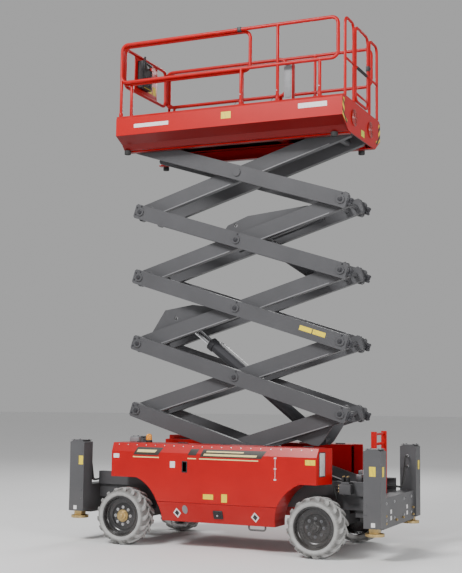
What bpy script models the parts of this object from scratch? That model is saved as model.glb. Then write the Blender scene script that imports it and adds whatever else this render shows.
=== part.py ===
"""Rough-terrain scissor lift: chassis, five-stage scissor stack and a railed platform.

Frame: X along the machine (front is -X), Y across it (left is -Y), Z up from the ground.
The scissor stack is modelled part-raised, at ARM_ANGLE.
"""

import math

import bmesh
import bpy
from mathutils import Matrix, Vector

# Clearances.
GAP = 0.0003

# Wheels and axles.
HALF_WHEELBASE = 1.195
TYRE_RADIUS = 0.33
TYRE_WIDTH = 0.30
TYRE_OUTER_Y = 0.90
TYRE_BORE = 0.235
TYRE_SHOULDER = 0.025
WHEEL_SIDES = 24
RIM_WALL = 0.014
RIM_DISC_Y = 0.80
RIM_DISC_WALL = 0.020
RIM_SET_IN = 0.02
HUB_RADIUS = 0.085
HUB_REACH = 0.055
SPINDLE_RADIUS = 0.045
KINGPIN_Y = 0.60
KINGPIN_RADIUS = 0.02
KNUCKLE_HALF = 0.05
KNUCKLE_HEIGHT = 0.16
EAR_WALL = 0.02
AXLE_DEPTH = 0.12
AXLE_SADDLE_LENGTH = 0.16
AXLE_SADDLE_WIDTH = 0.30

# Scissor stack.
STAGES = 5
ARM_LENGTH = 2.744
ARM_ANGLE = math.radians(17.37)
ARM_DEPTH = 0.18
ARM_WALL = 0.075
ARM_OVERRUN = 0.08
ARM_CORNER = 0.02
INNER_ARM_Y = 0.205
ARM_SIDE_GAP = 0.015
LOW_PIN_Z = 0.734
REAR_PIN_X = 1.324
SHAFT_RADIUS = 0.03
CENTRE_PIN_RADIUS = 0.035
PIN_CAP_RADIUS = 0.05
PIN_CAP_WALL = 0.015
CROSS_TUBE_RADIUS = 0.04
CROSS_TUBE_FROM_PIN = 0.11
PLATE_WALL = 0.025
HORN_CLEARANCE = 0.002
HORN_FOOT_DROP = 0.008

# Roller tracks, the same in the chassis and under the platform.
ROLLER_RADIUS = 0.06
ROLLER_WIDTH = 0.05
TRACK_IN_Y = 0.395
TRACK_OUT_Y = 0.47
TRACK_WALL = 0.012
BEARING_HALF = 0.06

# Lift cylinders. Places are (along, above) in the frame of the arm that carries them.
LOW_BASE_PIN = (2.335, -0.203)
LOW_ROD_PIN = (0.519, 0.17)
LOW_BARREL_LENGTH = 1.86
LOW_BARREL_RADIUS = 0.07
LOW_ROD_RADIUS = 0.045
LOW_ROD_TAIL = 0.535
HIGH_BASE_PIN = (2.36, 0.06)
HIGH_ROD_PIN = (1.358, 0.214)
HIGH_BARREL_LENGTH = 0.97
HIGH_BARREL_RADIUS = 0.06
HIGH_ROD_RADIUS = 0.04
HIGH_ROD_TAIL = 0.287
CYLINDER_PIN_RADIUS = 0.025
CYLINDER_EYE_RADIUS = 0.055
CYLINDER_EYE_HALF = 0.05
CYLINDER_BORE_START = 0.12
EYE_PIN_HALF = 0.17

# Chassis.
FRAME_HALF_LENGTH = 1.74
SILL_IN_Y = 0.38
SILL_OUT_Y = 0.44
SILL_BOTTOM_Z = 0.50
CROSS_TOP_Z = 0.58
CROSS_HALF = 0.10
MID_CROSS_X = 0.50
END_CROSS_IN_X = 1.52
END_CROSS_OUT_X = 1.64
END_CROSS_TOP_Z = 0.80
END_CROSS_BOTTOM_Z = 0.42

# Outriggers.
LEG_BOX_OUT_X = 1.935
LEG_BOX_IN_Y = 0.63
LEG_BOX_OUT_Y = 0.83
LEG_BOX_BOTTOM_Z = 0.355
LEG_BOX_TOP_Z = 1.19
LEG_BOX_WALL = 0.012
LEG_BOX_CHAMFER = 0.02
LEG_SIZE = 0.10
LEG_TOP_Z = 1.02
PAD_RADIUS = 0.105
PAD_BOTTOM_Z = 0.27
PAD_WALL = 0.03
END_BEAM_TOP_Z = 0.66
END_BEAM_BOTTOM_Z = 0.33
END_BEAM_SET_IN = 0.03

# Side modules.
MODULE_FRONT_X = -1.35
MODULE_REAR_X = 1.30
MODULE_REAR_OUTER_X = 1.21
MODULE_CORNER_Y = 0.58
MODULE_OUT_Y = 0.84
MODULE_TOP_Z = 1.18
MODULE_CREASE_Z = 1.08
MODULE_TOP_EDGE_Y = 0.80
MODULE_OVER_WHEEL_Z = 0.785
SKIRT_TOP_Z = 0.52
SKIRT_BOTTOM_Z = 0.30
SKIRT_BOTTOM_Y = 0.76
ARCH_RADIUS = 0.49
SHEET = 0.012
HOOD_SHEET = 0.025
HOOD_HINGE_Y = 0.565
TRAY_REAR_X = 1.185
BULGE_FRONT_X = -1.33
BULGE_REAR_X = -0.82
BULGE_IN_Y = 0.60
BULGE_OUT_Y = 0.78
BULGE_HEIGHT = 0.05

# Heavy masses in the side modules.
ENGINE_FRONT_X = -0.45
ENGINE_LENGTH = 0.95
ENGINE_HEIGHT = 0.62
TANK_FRONT_X = -0.55
TANK_LENGTH = 0.80
TANK_HEIGHT = 0.50
BLOCK_IN_Y = 0.50
BLOCK_OUT_Y = 0.73

# Ladder and beacon.
LADDER_HALF_WIDTH = 0.215
STRINGER_DEPTH = 0.06
STRINGER_WALL = 0.03
LADDER_BOTTOM_Z = 0.54
LADDER_TOP_Z = 1.36
RUNG_RADIUS = 0.014
RUNGS = 4
BEACON_X = -1.03
BEACON_RADIUS = 0.037
BEACON_HEIGHT = 0.10

# Platform. Heights are above the platform's own pin row.
DECK_FRONT_X = -1.45
DECK_REAR_X = 1.455
FLOOR_Z = 0.17
FLOOR_WALL = 0.015
BEAM_TOP_Z = 0.325
BEAM_OUT_Y = 0.742
BEAM_LIP_Y = 0.62
BEAM_SHOULDER_Y = 0.70
BEAM_SHOULDER_Z = 0.29
BEAM_LOW_Z = 0.075
BEAM_FLANGE_Y = 0.586
BEAM_FLANGE_Z = -0.002
BEAM_FOOT_Y = 0.50
BEAM_FOOT_Z = -0.063
BEAM_SHEET = 0.010
DECK_CROSS_HALF = 0.03
# Where the cross members lie and how low each reaches: the arms' ends pass under the first.
DECK_CROSSES = ((-0.75, 0.13), (0.35, 0.07), (0.85, 0.07))
TOE_WALL = 0.015

# Guard rails.
RAIL_RADIUS = 0.021
POST_RADIUS = 0.019
RAIL_BEND = 0.08
RAIL_Y = 0.645
RAIL_TOP_Z = 1.249
RAIL_MID_Z = 0.77
RAIL_FRONT_X = -1.441
RAIL_REAR_X = 1.386
RAIL_SHORT_POSTS_X = (0.18, 1.165)
RAIL_FULL_POST_X = 0.645
END_RAIL_RADIUS = 0.017
END_BAR_RADIUS = 0.014
END_RAIL_OUT_Y = 0.625
END_RAIL_IN_Y = 0.31
GATE_HALF_WIDTH = 0.245
GATE_BOTTOM_Z = 0.36
GATE_LOW_BAR_Z = 0.45
HINGE_LUG = 0.03

# Extension deck and its rails.
EXTENSION_FRONT_X = -1.474
EXTENSION_REAR_X = 0.25
EXTENSION_LIFT = 0.005
EXTENSION_HALF_WIDTH = 0.605
EXTENSION_SHEET = 0.012
EXTENSION_SIDE = 0.045
# The toe plate is notched over the ends of the arms, which pass it when the lift is down.
TOE_NOTCH_Y = 0.43
TOE_NOTCH_Z = 0.105
SKID_LENGTH = 0.10
SKID_WIDTH = 0.06
EXTENSION_RAIL_Y = 0.585
EXTENSION_RAIL_DROP = 0.014
EXTENSION_RAIL_FRONT_X = -1.452
EXTENSION_RAIL_REAR_X = 0.27
EXTENSION_POSTS_X = (-1.33, 0.17)
FRONT_PLATE_HALF = 0.30
FRONT_PLATE_WALL = 0.012
CONTROL_BOX_Y = (-0.24, 0.0)
CONTROL_BOX_Z = (0.82, 1.17)
CONTROL_BOX_DEPTH = 0.08
CONSOLE_X = (0.70, 0.80)
CONSOLE_Y = (-0.58, -0.50)
CONSOLE_HEIGHT = 0.42

# Derived places.
SPAN = ARM_LENGTH * math.cos(ARM_ANGLE)
STAGE_RISE = ARM_LENGTH * math.sin(ARM_ANGLE)
FRONT_PIN_X = REAR_PIN_X - SPAN
PLATFORM_PIN_Z = LOW_PIN_Z + STAGES * STAGE_RISE
INNER_ARM_OUT_Y = INNER_ARM_Y + ARM_WALL
OUTER_ARM_Y = INNER_ARM_OUT_Y + ARM_SIDE_GAP
OUTER_ARM_OUT_Y = OUTER_ARM_Y + ARM_WALL
PIN_END_Y = OUTER_ARM_OUT_Y + PIN_CAP_WALL
TRACK_HALF_OPENING = ROLLER_RADIUS + 0.005
TRACK_HALF_HEIGHT = TRACK_HALF_OPENING + TRACK_WALL
TRAY_IN_Y = TRACK_OUT_Y + GAP
LEG_BOX_IN_X = FRAME_HALF_LENGTH + GAP
LEG_X = (LEG_BOX_IN_X + LEG_BOX_OUT_X) / 2
LEG_Y = (LEG_BOX_IN_Y + LEG_BOX_OUT_Y) / 2


# ---------------------------------------------------------------- solids

def prism(outline, axis, low, high):
    """A closed outline, in the other two axes, extruded from low to high along axis."""
    place = {
        "X": lambda a, b, c: (c, a, b),
        "Y": lambda a, b, c: (a, c, b),
        "Z": lambda a, b, c: (a, b, c),
    }[axis]
    solid = bmesh.new()
    face = solid.faces.new([solid.verts.new(place(a, b, low)) for a, b in outline])
    grown = bmesh.ops.extrude_face_region(solid, geom=[face])["geom"]
    moved = [item for item in grown if isinstance(item, bmesh.types.BMVert)]
    bmesh.ops.translate(solid, verts=moved, vec=Vector(place(0, 0, high - low)))
    bmesh.ops.recalc_face_normals(solid, faces=solid.faces)
    return solid


def box(x, y, z):
    """A box from three (low, high) pairs, in either order."""
    (x0, x1), (y0, y1), (z0, z1) = sorted(x), sorted(y), sorted(z)
    return prism([(x0, y0), (x1, y0), (x1, y1), (x0, y1)], "Z", z0, z1)


def bar(start, end, radius, sides=12, turn=0.0):
    """A round bar between two points."""
    start, end = Vector(start), Vector(end)
    aim = (end - start).to_track_quat("Z", "Y").to_matrix().to_4x4()
    place = Matrix.Translation((start + end) / 2) @ aim @ Matrix.Rotation(turn, 4, "Z")
    solid = bmesh.new()
    bmesh.ops.create_cone(
        solid, cap_ends=True, segments=sides, radius1=radius, radius2=radius,
        depth=(end - start).length, matrix=place,
    )
    return solid


def cross_bar(x, z, radius, y0, y1, sides=12):
    """A round bar that lies across the machine."""
    return bar((x, y0, z), (x, y1, z), radius, sides)


def hole_radius(radius, sides=12):
    """The radius of a faceted hole that clears a bar of this radius by GAP."""
    return (radius + GAP) / math.cos(math.pi / sides)


def turned(profile, centre, sides, turn=0.0):
    """A solid turned about an axis across the machine; profile holds (y, radius) pairs."""
    solid = bmesh.new()
    rings = []
    for step in range(sides):
        angle = turn + 2 * math.pi * step / sides
        rings.append([
            solid.verts.new((
                centre[0] + radius * math.cos(angle), y, centre[1] + radius * math.sin(angle),
            ))
            for y, radius in profile
        ])
    for step in range(sides):
        ring, following = rings[step], rings[(step + 1) % sides]
        for index in range(len(profile)):
            after = (index + 1) % len(profile)
            solid.faces.new((ring[index], ring[after], following[after], following[index]))
    bmesh.ops.recalc_face_normals(solid, faces=solid.faces)
    return solid


def rounded(corners, bend, closed, steps=4):
    """The points of a path with its corners rounded to the bend radius."""
    path = []
    count = len(corners)
    for index, corner in enumerate(corners):
        if not closed and index in (0, count - 1):
            path.append(Vector(corner))
            continue
        corner = Vector(corner)
        back = (Vector(corners[index - 1]) - corner).normalized()
        ahead = (Vector(corners[(index + 1) % count]) - corner).normalized()
        half = back.angle(ahead) / 2
        centre = corner + (back + ahead).normalized() * bend / math.sin(half)
        first = (corner + back * bend / math.tan(half) - centre).normalized()
        last = (corner + ahead * bend / math.tan(half) - centre).normalized()
        path.extend(centre + bend * first.slerp(last, step / steps) for step in range(steps + 1))
    return path


def pipe(corners, radius, normal, bend=RAIL_BEND, closed=False, sides=8, turn=0.5):
    """A round pipe along a flat path with rounded corners; turn is in facets."""
    path = rounded(corners, bend, closed)
    normal = Vector(normal)
    count = len(path)
    solid = bmesh.new()
    rings = []
    for index, point in enumerate(path):
        behind = path[index - 1] if index or closed else 2 * point - path[1]
        before = (point - behind).normalized()
        ahead = path[(index + 1) % count] if index < count - 1 or closed else 2 * point - behind
        after = (ahead - point).normalized()
        along = (before + after).normalized()
        side = along.cross(normal) / along.dot(after)
        angles = [2 * math.pi * (step + turn) / sides for step in range(sides)]
        rings.append([
            solid.verts.new(point + radius * (normal * math.sin(a) + side * math.cos(a)))
            for a in angles
        ])
    for index in range(count if closed else count - 1):
        ring, following = rings[index], rings[(index + 1) % count]
        for step in range(sides):
            after = (step + 1) % sides
            solid.faces.new((ring[step], ring[after], following[after], following[step]))
    if not closed:
        solid.faces.new(rings[0])
        solid.faces.new(rings[-1])
    bmesh.ops.recalc_face_normals(solid, faces=solid.faces)
    return solid


def mirrored(outline, side):
    """An outline whose first coordinate is Y, put on the side given (-1 left, 1 right)."""
    return [(side * y, z) for y, z in outline]


# --------------------------------------------------------------- objects

def mesh_of(name, solids):
    """One mesh that holds every solid given."""
    whole = bmesh.new()
    for solid in solids:
        piece = bpy.data.meshes.new(name)
        solid.to_mesh(piece)
        solid.free()
        whole.from_mesh(piece)
        bpy.data.meshes.remove(piece)
    mesh = bpy.data.meshes.new(name)
    whole.to_mesh(mesh)
    whole.free()
    return mesh


def helper(owner, ending, solids):
    """A hidden object, fixed to its owner, that one of the owner's Booleans uses."""
    tool = bpy.data.objects.new(owner.name + ending, mesh_of(owner.name + ending, solids))
    bpy.context.scene.collection.objects.link(tool)
    tool.parent = owner
    tool.hide_render = True
    tool.display_type = "WIRE"
    return tool


def combine(owner, operation, solids):
    """Adds a Boolean that unites the solids with the owner or cuts them from it."""
    step = owner.modifiers.new(operation.lower(), "BOOLEAN")
    step.operation = operation
    step.solver = "EXACT"
    step.use_self = len(solids) > 1
    step.object = helper(owner, "_" + operation.lower(), solids)


def paint(name, colour, roughness, metallic):
    material = bpy.data.materials.new(name)
    material.use_nodes = True
    shader = material.node_tree.nodes["Principled BSDF"]
    shader.inputs["Base Color"].default_value = (*colour, 1.0)
    shader.inputs["Roughness"].default_value = roughness
    shader.inputs["Metallic"].default_value = metallic
    return material


RED = ((0.62, 0.02, 0.02), 0.35, 0.0)
ARM_GREY = ((0.10, 0.10, 0.11), 0.45, 0.2)
MID_GREY = ((0.22, 0.22, 0.23), 0.45, 0.2)
BLACK = ((0.02, 0.02, 0.02), 0.6, 0.0)
TYRE_GREY = ((0.42, 0.42, 0.40), 0.85, 0.0)
STEEL = ((0.55, 0.55, 0.56), 0.25, 1.0)
AMBER = ((0.9, 0.35, 0.02), 0.2, 0.0)


def part(name, finish, first, more=(), cuts=(), pivot=(0, 0, 0), tilt=0.0):
    """An object made of a first solid, the solids united with it, and the solids cut away.

    pivot is where the object's origin goes. Without a tilt the solids are given in the
    machine's frame; with one they are given about the pivot, and tilt turns them about Y.
    """
    if not tilt:
        for solid in (first, *more, *cuts):
            bmesh.ops.translate(solid, verts=solid.verts, vec=-Vector(pivot))
    obj = bpy.data.objects.new(name, mesh_of(name, [first]))
    bpy.context.scene.collection.objects.link(obj)
    obj.location = pivot
    obj.rotation_euler.y = tilt
    if more:
        combine(obj, "UNION", list(more))
    if cuts:
        combine(obj, "DIFFERENCE", list(cuts))
    obj.data.materials.append(paint(name, *finish))
    obj.data.shade_smooth()
    obj.data.set_sharp_from_angle(angle=math.radians(35))
    return obj


def body(name, pivot, pieces, parent=None):
    """An empty at the pivot of a moving body, which carries the body's pieces."""
    empty = bpy.data.objects.new(name, None)
    bpy.context.scene.collection.objects.link(empty)
    bpy.context.view_layer.update()
    empty.location = pivot
    if parent:
        empty.parent = parent
        empty.matrix_parent_inverse = Matrix.Translation(-Vector(parent.location))
    bpy.context.view_layer.update()
    for piece in pieces:
        piece.parent = empty
        piece.matrix_parent_inverse = empty.matrix_world.inverted()
    return empty


# --------------------------------------------------------- scissor stack

def pin_row_z(row):
    return LOW_PIN_Z + row * STAGE_RISE


def arm_outline():
    """A straight arm with cut corners, as (along, above) from its lower pin."""
    low, high, half, cut = -ARM_OVERRUN, ARM_LENGTH + ARM_OVERRUN, ARM_DEPTH / 2, ARM_CORNER
    return [
        (low + cut, -half), (high - cut, -half), (high, cut - half), (high, half - cut),
        (high - cut, half), (low + cut, half), (low, half - cut), (low, cut - half),
    ]


class ArmSet:
    """Collects the solids of one pair of arms.

    Solids are placed by (along, above) from the lower pin. Inner arms rise to the rear, and
    outer arms rise to the front, so along runs the other way on them. pivot_along is where
    the pair's joint lies.
    """

    def __init__(self, stage, rises_to_rear, pivot_along):
        self.way = 1 if rises_to_rear else -1
        self.pivot_along = pivot_along
        self.added = []
        self.cut = []
        low_x = FRONT_PIN_X if rises_to_rear else REAR_PIN_X
        self.pivot = (
            low_x + self.way * pivot_along * math.cos(ARM_ANGLE),
            0.0,
            pin_row_z(stage - 1) + pivot_along * math.sin(ARM_ANGLE),
        )
        self.tilt = -self.way * ARM_ANGLE

    def x(self, along):
        return self.way * (along - self.pivot_along)

    def plate(self, outline, y0, y1):
        self.added.append(prism([(self.x(a), b) for a, b in outline], "Y", y0, y1))

    def both_sides(self, outline, near_y, far_y):
        self.plate(outline, -far_y, -near_y)
        self.plate(outline, near_y, far_y)

    def shaft(self, along, above, radius, half_length, sides=12):
        solid = cross_bar(self.x(along), above, radius, -half_length, half_length, sides)
        self.added.append(solid)

    def studs(self, along, above, radius, near_y, far_y, sides=12):
        for side in (-1, 1):
            x = self.x(along)
            self.added.append(cross_bar(x, above, radius, side * near_y, side * far_y, sides))

    def bore(self, along, above, radius, near_y, far_y, sides=12):
        for side in (-1, 1):
            x, wide = self.x(along), hole_radius(radius, sides)
            self.cut.append(cross_bar(x, above, wide, side * near_y, side * far_y, sides))

    def finish(self, name):
        return part(
            name, ARM_GREY, self.added[0], self.added[1:], self.cut, self.pivot, self.tilt,
        )


def lower_cylinder_bracket(arms):
    """V-shaped plates under the first inner arms, with the pin of the lower cylinder."""
    along, above = LOW_BASE_PIN
    outline = [
        (along - 0.34, -0.05), (along - 0.07, above - 0.03), (along, above - 0.06),
        (along + 0.06, above - 0.03), (along + 0.28, -0.05),
    ]
    arms.both_sides(outline, INNER_ARM_Y - PLATE_WALL, INNER_ARM_Y + PLATE_WALL / 5)
    arms.shaft(along, above, CYLINDER_PIN_RADIUS, INNER_ARM_Y - PLATE_WALL / 2)


def rod_horn(arms, rod_pin, outline):
    """Plates beside a pair of inner arms that reach a cylinder's rod pin.

    Above the arm they stay clear of the next stage's arm, and a foot joins them to their own.
    """
    inner_y = INNER_ARM_Y - PLATE_WALL
    arms.both_sides(outline, inner_y, INNER_ARM_Y - HORN_CLEARANCE)
    start, end, top = outline[0][0], outline[-1][0], ARM_DEPTH / 2 - HORN_FOOT_DROP
    foot = [(start, 0.0), (end, 0.0), (end, top), (start, top)]
    arms.both_sides(foot, inner_y + HORN_CLEARANCE, INNER_ARM_Y + PLATE_WALL / 5)
    along, above = rod_pin
    for side in (-1, 1):
        x = arms.x(along)
        reach = (side * (INNER_ARM_Y - PLATE_WALL - 0.001), side * (INNER_ARM_Y + 0.03))
        arms.cut.append(cross_bar(x, above, CYLINDER_PIN_RADIUS, *reach))


def inner_arms(stage, pivot_along):
    arms = ArmSet(stage, True, pivot_along)
    arms.both_sides(arm_outline(), INNER_ARM_Y, INNER_ARM_OUT_Y)
    for along in (CROSS_TUBE_FROM_PIN, ARM_LENGTH - CROSS_TUBE_FROM_PIN):
        arms.shaft(along, 0, CROSS_TUBE_RADIUS, INNER_ARM_Y + ARM_WALL / 3)
    middle = ARM_LENGTH / 2
    stud_start = INNER_ARM_OUT_Y - ARM_WALL / 3
    arms.studs(middle, 0, CENTRE_PIN_RADIUS, stud_start, OUTER_ARM_OUT_Y + GAP)
    arms.studs(middle, 0, PIN_CAP_RADIUS, OUTER_ARM_OUT_Y + GAP, PIN_END_Y)
    if stage == 1:
        lower_cylinder_bracket(arms)
        arms.studs(0, 0, SHAFT_RADIUS, stud_start, TRACK_IN_Y + ROLLER_WIDTH)
        roller_in = TRACK_IN_Y + 0.005
        arms.studs(0, 0, ROLLER_RADIUS, roller_in, roller_in + ROLLER_WIDTH, 16)
    else:
        arms.bore(0, 0, SHAFT_RADIUS, INNER_ARM_Y - 0.01, INNER_ARM_OUT_Y + 0.01)
    if stage == STAGES:
        arms.studs(ARM_LENGTH, 0, SHAFT_RADIUS, stud_start, TRACK_OUT_Y - TRACK_WALL - GAP)
    else:
        arms.bore(ARM_LENGTH, 0, SHAFT_RADIUS, INNER_ARM_Y - 0.01, INNER_ARM_OUT_Y + 0.01)
    if stage == 3:
        along, above = LOW_ROD_PIN
        rod_horn(arms, LOW_ROD_PIN, [
            (along - 0.40, 0.05), (along - 0.36, 0.11), (along - 0.12, 0.31), (along + 0.26, 0.255),
            (along + 0.63, 0.09), (along + 0.66, 0.05),
        ])
        arms.shaft(*HIGH_BASE_PIN, CYLINDER_PIN_RADIUS, INNER_ARM_Y + ARM_WALL / 3)
    if stage == 4:
        along, above = HIGH_ROD_PIN
        rod_horn(arms, HIGH_ROD_PIN, [
            (along - 0.20, 0.05), (along - 0.17, 0.20), (along - 0.10, 0.25), (along + 0.18, 0.27),
            (along + 0.94, 0.12), (along + 0.98, 0.05),
        ])
    return arms.finish(f"inner_arms_{stage}")


def outer_arms(stage, pivot_along):
    arms = ArmSet(stage, False, pivot_along)
    arms.both_sides(arm_outline(), OUTER_ARM_Y, OUTER_ARM_OUT_Y)
    middle = ARM_LENGTH / 2
    arms.bore(middle, 0, CENTRE_PIN_RADIUS, OUTER_ARM_Y - 0.01, OUTER_ARM_OUT_Y + 0.01)
    bearing_end = TRACK_OUT_Y - TRACK_WALL - GAP
    if stage == 1:
        arms.studs(0, 0, SHAFT_RADIUS, OUTER_ARM_Y + 0.01, bearing_end)
        arms.shaft(0, 0, SHAFT_RADIUS * 0.9, OUTER_ARM_Y + 0.02)
    else:
        arms.shaft(0, 0, SHAFT_RADIUS, OUTER_ARM_OUT_Y - 0.01)
        arms.studs(0, 0, PIN_CAP_RADIUS, OUTER_ARM_OUT_Y - 0.01, PIN_END_Y)
    if stage == STAGES:
        roller_in = TRACK_IN_Y + 0.005
        arms.shaft(ARM_LENGTH, 0, SHAFT_RADIUS, roller_in + ROLLER_WIDTH - 0.005)
        arms.studs(ARM_LENGTH, 0, ROLLER_RADIUS, roller_in, roller_in + ROLLER_WIDTH, 16)
    else:
        arms.shaft(ARM_LENGTH, 0, SHAFT_RADIUS, OUTER_ARM_OUT_Y - 0.01)
        arms.studs(ARM_LENGTH, 0, PIN_CAP_RADIUS, OUTER_ARM_OUT_Y - 0.01, PIN_END_Y)
    return arms.finish(f"outer_arms_{stage}")


def arm_point(stage, place):
    """Where (along, above) on a stage's inner arms lies in the machine's frame."""
    along, above = place
    return Vector((
        FRONT_PIN_X + along * math.cos(ARM_ANGLE) - above * math.sin(ARM_ANGLE),
        0.0,
        pin_row_z(stage - 1) + along * math.sin(ARM_ANGLE) + above * math.cos(ARM_ANGLE),
    ))


def cylinder(name, base, rod_end, barrel_length, barrel_radius, rod_radius, rod_tail):
    """A barrel that hinges on its base pin and a rod that slides in it."""
    reach = (rod_end - base).length
    tilt = -math.atan2(rod_end.z - base.z, rod_end.x - base.x)
    start, sides = (CYLINDER_EYE_RADIUS * 0.6, 0, 0), 16
    eye = cross_bar(0, 0, CYLINDER_EYE_RADIUS, -CYLINDER_EYE_HALF, CYLINDER_EYE_HALF, sides)
    tube = bar(start, (barrel_length, 0, 0), barrel_radius, sides)
    wide = hole_radius(CYLINDER_PIN_RADIUS)
    pin_hole = cross_bar(0, 0, wide, -barrel_radius - 0.01, barrel_radius + 0.01)
    rod_hole = bar(
        (CYLINDER_BORE_START, 0, 0), (barrel_length + 0.01, 0, 0),
        hole_radius(rod_radius, sides), sides,
    )
    barrel = part(f"{name}_barrel", MID_GREY, tube, [eye], [pin_hole, rod_hole], base, tilt)
    rod = part(
        f"{name}_rod", STEEL,
        bar((rod_tail, 0, 0), (reach, 0, 0), rod_radius, sides, math.pi / sides),
        [
            cross_bar(reach, 0, CYLINDER_EYE_RADIUS, -CYLINDER_EYE_HALF, CYLINDER_EYE_HALF, sides),
            cross_bar(reach, 0, CYLINDER_PIN_RADIUS * 0.96, -EYE_PIN_HALF, EYE_PIN_HALF),
        ],
        (), base, tilt,
    )
    return barrel, rod


def scissor_stack():
    """All arms, each with its origin on its own joint, and both lift cylinders."""
    middle = ARM_LENGTH / 2
    for stage in range(1, STAGES + 1):
        leads = stage % 2 == 1
        if stage == 1:
            outer_arms(stage, 0.0)
            inner_arms(stage, middle)
        else:
            inner_arms(stage, 0.0 if leads else middle)
            outer_arms(stage, middle if leads else 0.0)
    cylinder(
        "lower_cylinder", arm_point(1, LOW_BASE_PIN), arm_point(3, LOW_ROD_PIN),
        LOW_BARREL_LENGTH, LOW_BARREL_RADIUS, LOW_ROD_RADIUS, LOW_ROD_TAIL,
    )
    cylinder(
        "upper_cylinder", arm_point(3, HIGH_BASE_PIN), arm_point(4, HIGH_ROD_PIN),
        HIGH_BARREL_LENGTH, HIGH_BARREL_RADIUS, HIGH_ROD_RADIUS, HIGH_ROD_TAIL,
    )


# --------------------------------------------------------------- chassis

def track_outline(side, pin_z):
    """A channel open towards the arms, as (y, z)."""
    back = TRACK_OUT_Y - TRACK_WALL
    return mirrored([
        (TRACK_IN_Y, pin_z - TRACK_HALF_HEIGHT), (TRACK_OUT_Y, pin_z - TRACK_HALF_HEIGHT),
        (TRACK_OUT_Y, pin_z + TRACK_HALF_HEIGHT), (TRACK_IN_Y, pin_z + TRACK_HALF_HEIGHT),
        (TRACK_IN_Y, pin_z + TRACK_HALF_OPENING), (back, pin_z + TRACK_HALF_OPENING),
        (back, pin_z - TRACK_HALF_OPENING), (TRACK_IN_Y, pin_z - TRACK_HALF_OPENING),
    ], side)


def bearing_block(side, pin_z):
    """The block in a track that holds the scissor stack's fixed rear pin."""
    back = TRACK_OUT_Y - TRACK_WALL / 2
    reach = TRACK_HALF_OPENING + TRACK_WALL / 2
    x = (REAR_PIN_X - BEARING_HALF, REAR_PIN_X + BEARING_HALF)
    return box(x, (side * TRACK_IN_Y, side * back), (pin_z - reach, pin_z + reach))


def bearing_bore(side, pin_z):
    ends = (side * (TRACK_IN_Y - 0.01), side * (TRACK_OUT_Y - TRACK_WALL))
    return cross_bar(REAR_PIN_X, pin_z, hole_radius(SHAFT_RADIUS), *ends)


def chassis_frame():
    ends = (-FRAME_HALF_LENGTH, FRAME_HALF_LENGTH)
    track_bottom = LOW_PIN_Z - TRACK_HALF_HEIGHT
    added = []
    for side in (-1, 1):
        added.append(prism(track_outline(side, LOW_PIN_Z), "X", *ends))
        sill_y = (side * SILL_IN_Y, side * SILL_OUT_Y)
        added.append(box(ends, sill_y, (SILL_BOTTOM_Z, track_bottom + TRACK_WALL / 2)))
        added.append(bearing_block(side, LOW_PIN_Z))
        end_x = (side * END_CROSS_IN_X, side * END_CROSS_OUT_X)
        end_y = (-SILL_IN_Y - 0.03, SILL_IN_Y + 0.03)
        added.append(box(end_x, end_y, (END_CROSS_BOTTOM_Z, END_CROSS_TOP_Z)))
        for x in (side * MID_CROSS_X, side * HALF_WHEELBASE):
            cross_x = (x - CROSS_HALF, x + CROSS_HALF)
            added.append(box(cross_x, end_y, (SILL_BOTTOM_Z - GAP, CROSS_TOP_Z)))
    cuts = [bearing_bore(side, LOW_PIN_Z) for side in (-1, 1)]
    part("chassis_frame", MID_GREY, added[0], added[1:], cuts)


def axle_saddle(x):
    """The block that carries an axle under its frame cross member."""
    half = AXLE_SADDLE_LENGTH / 2
    width = (-AXLE_SADDLE_WIDTH / 2, AXLE_SADDLE_WIDTH / 2)
    top = SILL_BOTTOM_Z - 2 * GAP
    return box((x - half, x + half), width, (TYRE_RADIUS + AXLE_DEPTH / 4, top))


def front_axle():
    """The steered axle, with an ear above and below each knuckle and a pin through both."""
    x = -HALF_WHEELBASE
    half = AXLE_DEPTH / 2
    beam_end = KINGPIN_Y - math.hypot(KNUCKLE_HALF, KNUCKLE_HALF) - 0.005
    added = [axle_saddle(x)]
    for side in (-1, 1):
        ear_y = (side * (beam_end - 0.03), side * (KINGPIN_Y + KNUCKLE_HALF * 0.8))
        head_y = (side * (beam_end - 0.05), side * beam_end)
        for way in (-1, 1):
            near = TYRE_RADIUS + way * (KNUCKLE_HEIGHT / 2 + 2 * GAP)
            ear_x = (x - KNUCKLE_HALF * 0.8, x + KNUCKLE_HALF * 0.8)
            added.append(box(ear_x, ear_y, (near, near + way * EAR_WALL)))
        reach = KNUCKLE_HEIGHT / 2 + EAR_WALL / 2
        added.append(box((x - half, x + half), head_y, (TYRE_RADIUS - reach, TYRE_RADIUS + reach)))
        y = side * KINGPIN_Y
        added.append(bar((x, y, TYRE_RADIUS - reach), (x, y, TYRE_RADIUS + reach), KINGPIN_RADIUS))
    beam_y = (-beam_end + 0.02, beam_end - 0.02)
    beam = box((x - half * 0.95, x + half * 0.95), beam_y, (TYRE_RADIUS - half, TYRE_RADIUS + half))
    part("front_axle", MID_GREY, beam, added)


def rear_axle():
    x = HALF_WHEELBASE
    half = AXLE_DEPTH / 2
    beam = box((x - half, x + half), (-KINGPIN_Y, KINGPIN_Y), (TYRE_RADIUS - half, TYRE_RADIUS + half))
    spindle = cross_bar(
        x, TYRE_RADIUS, SPINDLE_RADIUS, -RIM_DISC_Y + GAP, RIM_DISC_Y - GAP, 16,
    )
    part("rear_axle", MID_GREY, beam, [axle_saddle(x), spindle])


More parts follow.
